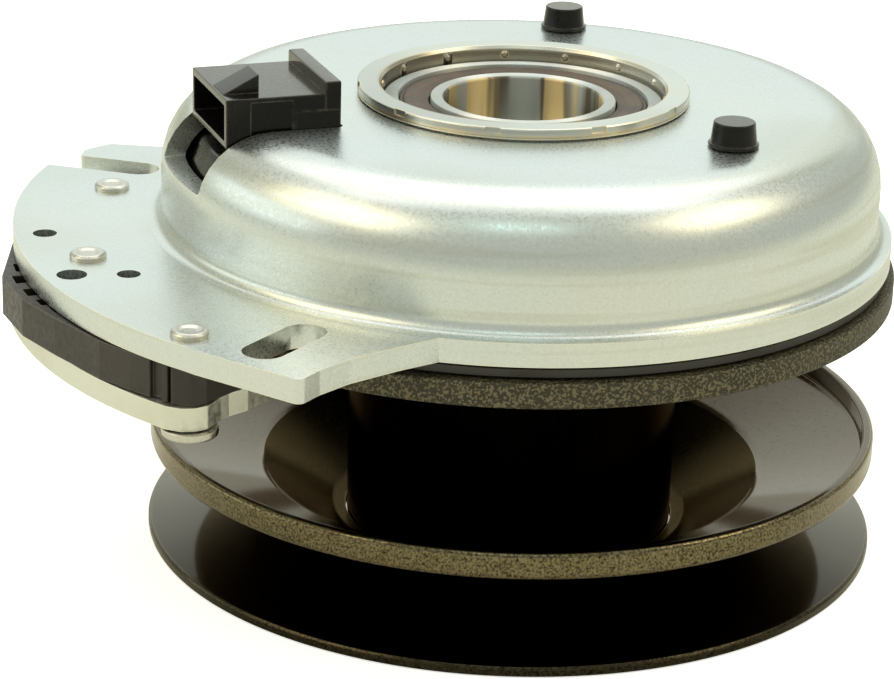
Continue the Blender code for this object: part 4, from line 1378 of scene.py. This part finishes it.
ring_section = race_section(40.0, 84.0, armature_low.z, armature_high.z, 0.4, 0.6)
armature = turned("armature_ring", ring_section)
cuts = [banana("slot", 72.0, 1.5, 60.0 * n + 25.0, 60.0 * n + 61.0, 50.0, 70.0) for n in range(6)]
drum_cuts = []
for number in range(SPRINGS):
    start = SPRING_START + 360.0 * number / SPRINGS
    drum_place = polar(SPRING_RIVET_CIRCLE, start)
    plate_place = polar(ARMATURE_RIVET_CIRCLE, start + SPRING_SWEEP)
    drum_hole = circle(drum_place, RIVET_HOLE)
    plate_hole = circle(plate_place, RIVET_HOLE)
    cuts.append(stamped("plate_hole", [plate_hole], 55.0, 70.0))
    cuts.append(stamped("plate_recess", [circle(plate_place, HEAD_RECESS)], 63.1, 70.0))
    drum_cuts.append(stamped("drum_hole", [drum_hole], 50.0, 60.0))
    strip = [stadium(drum_place, plate_place, SPRING_HALF_WIDTH), drum_hole, plate_hole]
    spring = stamped(f"spring_leaf_{number + 1}", strip, spring_low.z, spring_high.z, 0.12)
    drum_end = Vector((*drum_place, spring_low.z))
    plate_end = Vector((*plate_place, spring_low.z))
    clamped = (plate_end - drum_end).normalized() * CLAMPED_LENGTH
    bend = ("armature", (drum_end + clamped) * MM, (plate_end - clamped) * MM)
    finish_piece(spring, "leaf_spring_steel", "pulley", f"leaf_spring_{number + 1}", bend=bend)
    name = f"plate_rivet_{number + 1}"
    plate_rivet = turned(name, plate_rivet_section, SMALL_STEPS, closed=False, place=plate_place)
    finish_piece(plate_rivet, "rivet_steel", "armature", f"armature_rivet_{number + 1}")
    name = f"drum_rivet_{number + 1}"
    drum_rivet = turned(name, drum_rivet_section, SMALL_STEPS, closed=False, place=drum_place)
    finish_piece(drum_rivet, "rivet_steel", "pulley", f"spring_rivet_{number + 1}")
carve(armature, gather("armature_cuts", cuts))
finish_piece(armature, "armature_steel", "armature", "armature_plate")
carve(drum, gather("drum_cuts", drum_cuts))
finish_piece(drum, "black_paint", "pulley", "pulley_hub")
print("springs:", SPRINGS)

# %% [markdown]
# ## The brake
#
# Under the ear lie a moulded holder with two magnets and a cream plate, all clamped by
# three long rivets. With the current off, the magnets pull the armature on to the plate.
# The holder bulges out past the ear on the left, where its moulded pockets can be seen.

# %% Brake plate
brake_low, brake_high = frame_size("brake_plate")
rivet_holes = [circle(place, RIVET_HOLE) for place in RIVETS]
plate_outline = arc_points((-3.0, 1.0), 110.8, 169.0, 230.0, 60)
plate_outline += [(-70.6, -86.8, 1.0), (-67.4, -88.0, 2.0), (-64.6, -87.6, 2.0)]
plate_outline += [(-62.2, -86.0, 1.5)]
plate_outline += [(-60.0, -81.0, 1.5), (-58.6, -79.0, 1.5), (-55.0, -75.5, 1.0)]
plate_outline += arc_points((0.0, 0.0), 78.0, 233.0, 168.0, 60)
outlines = [plate_outline] + rivet_holes
brake_plate = stamped("brake_shoe", outlines, brake_low.z, brake_high.z, 0.5)
finish_piece(brake_plate, "brake_steel", "field", "brake_plate")
print("brake plate faces:", len(brake_plate.data.polygons))

# %% Magnet holder
holder_low, holder_high = frame_size("brake_magnet_holder")
holder_edge = [(-108.0, 17.0, 1.0), (-111.2, 2.0, 6.0), (-111.3, -12.0, 6.0), (-110.2, -37.2, 3.0)]
holder_edge += [(-104.0, -50.5, 2.0), (-95.8, -61.2, 2.0), (-85.2, -73.6, 1.2), (-78.3, -79.6, 1.0)]
holder_edge += [(-74.0, -83.0, 0.3), (-73.4, -82.2, 0.2), (-71.0, -83.9, 0.2), (-71.6, -84.7, 0.3)]
holder_edge += [(-70.3, -85.6, 0.3), (-69.6, -84.6, 0.1), (-69.0, -85.0, 0.1), (-69.7, -86.0, 0.3)]
holder_edge += [(-68.8, -86.4, 0.5), (-65.6, -87.2, 1.5), (-62.6, -85.6, 1.5)]
holder_edge += [(-56.6, -77.4, 1.0)]
holder_edge += arc_points((0.0, 0.0), 86.5, 233.0, 169.0, 60)
MAGNETS = ((98.0, 188.0), (98.5, 217.5))


def magnet_outline(radius, angle, margin):
    """A rectangle set square to the radius, with round corners."""
    centre = polar(radius, angle)
    out = polar(6.5 + margin, angle)
    side = polar(9.5 + margin, angle + 90.0)
    corners = []
    for a, b in ((1, -1), (1, 1), (-1, 1), (-1, -1)):
        x = centre[0] + a * out[0] + b * side[0]
        y = centre[1] + a * out[1] + b * side[1]
        corners.append((x, y, 0.6))
    return corners


outlines = [holder_edge] + rivet_holes + [magnet_outline(*magnet, 0.3) for magnet in MAGNETS]
magnet_holder = stamped("magnet_carrier", outlines, holder_low.z, holder_high.z, 0.3)
CELLS = (
    (194.6, 197.3, 112.8),
    (198.6, 201.1, 114.2),
    (203.0, 205.3, 113.9),
    (206.7, 208.6, 113.2),
    (209.4, 211.3, 112.3),
)
cells = []
for start, end, reach in CELLS:
    corners = [(*polar(106.5, start), 0.4), (*polar(reach, start), 0.4)]
    corners += [(*polar(reach, end), 0.4), (*polar(106.5, end), 0.4)]
    cells.append(stamped("cell", [corners], holder_low.z + 1.5, holder_high.z + 2.0))
carve(magnet_holder, gather("cell_cutters", cells))
finish_piece(magnet_holder, "holder_plastic", "field", "brake_magnet_holder")
for number, magnet in enumerate(MAGNETS, 1):
    outlines = [magnet_outline(*magnet, 0.0)]
    solid = stamped(f"magnet_{number}", outlines, holder_low.z, holder_high.z, 0.3)
    finish_piece(solid, "magnet_ferrite", "field", f"brake_magnet_{number}")
print("holder with", len(CELLS), "cells and", len(MAGNETS), "magnets")

# %% Long rivets
brake_rivet_section = [
    (0.0, 74.6, 0.0),
    (1.6, 74.6, 0.6),
    (2.4, 75.0, 0.5),
    (3.3, 75.0, 0.5),
    (3.9, 74.5, 0.3),
    (3.9, PLATE_TOP, 0.0),
    (SHANK, PLATE_TOP, 0.0),
    (SHANK, brake_low.z - 0.3, 0.0),
    (5.8, brake_low.z - 0.3, 0.2),
    (5.8, 52.6, 0.7),
    (0.0, 52.6, 0.0),
]
for number, place in enumerate(RIVETS, 1):
    name = f"long_rivet_{number}"
    long_rivet = turned(name, brake_rivet_section, SMALL_STEPS, closed=False, place=place)
    finish_piece(long_rivet, "rivet_steel", "field", f"brake_rivet_{number}")
print("brake ready")

# %% [markdown]
# ## What stays as the frame made it
#
# The coil winding and the two plug blades are hidden or nearly so. They keep their frame
# solids and take the finishes of their materials.

# %% Finishes for the kept solids
for node, finish in (
    ("coil_winding", "winding_copper"),
    ("connector_terminal_1", "terminal_brass"),
    ("connector_terminal_2", "terminal_brass"),
):
    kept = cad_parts[node]
    kept.data.materials.clear()
    kept.data.materials.append(FINISHES[finish])
    kept.data.shade_smooth()
    kept.data.set_sharp_from_angle(angle=math.radians(30))
print("kept solids painted")
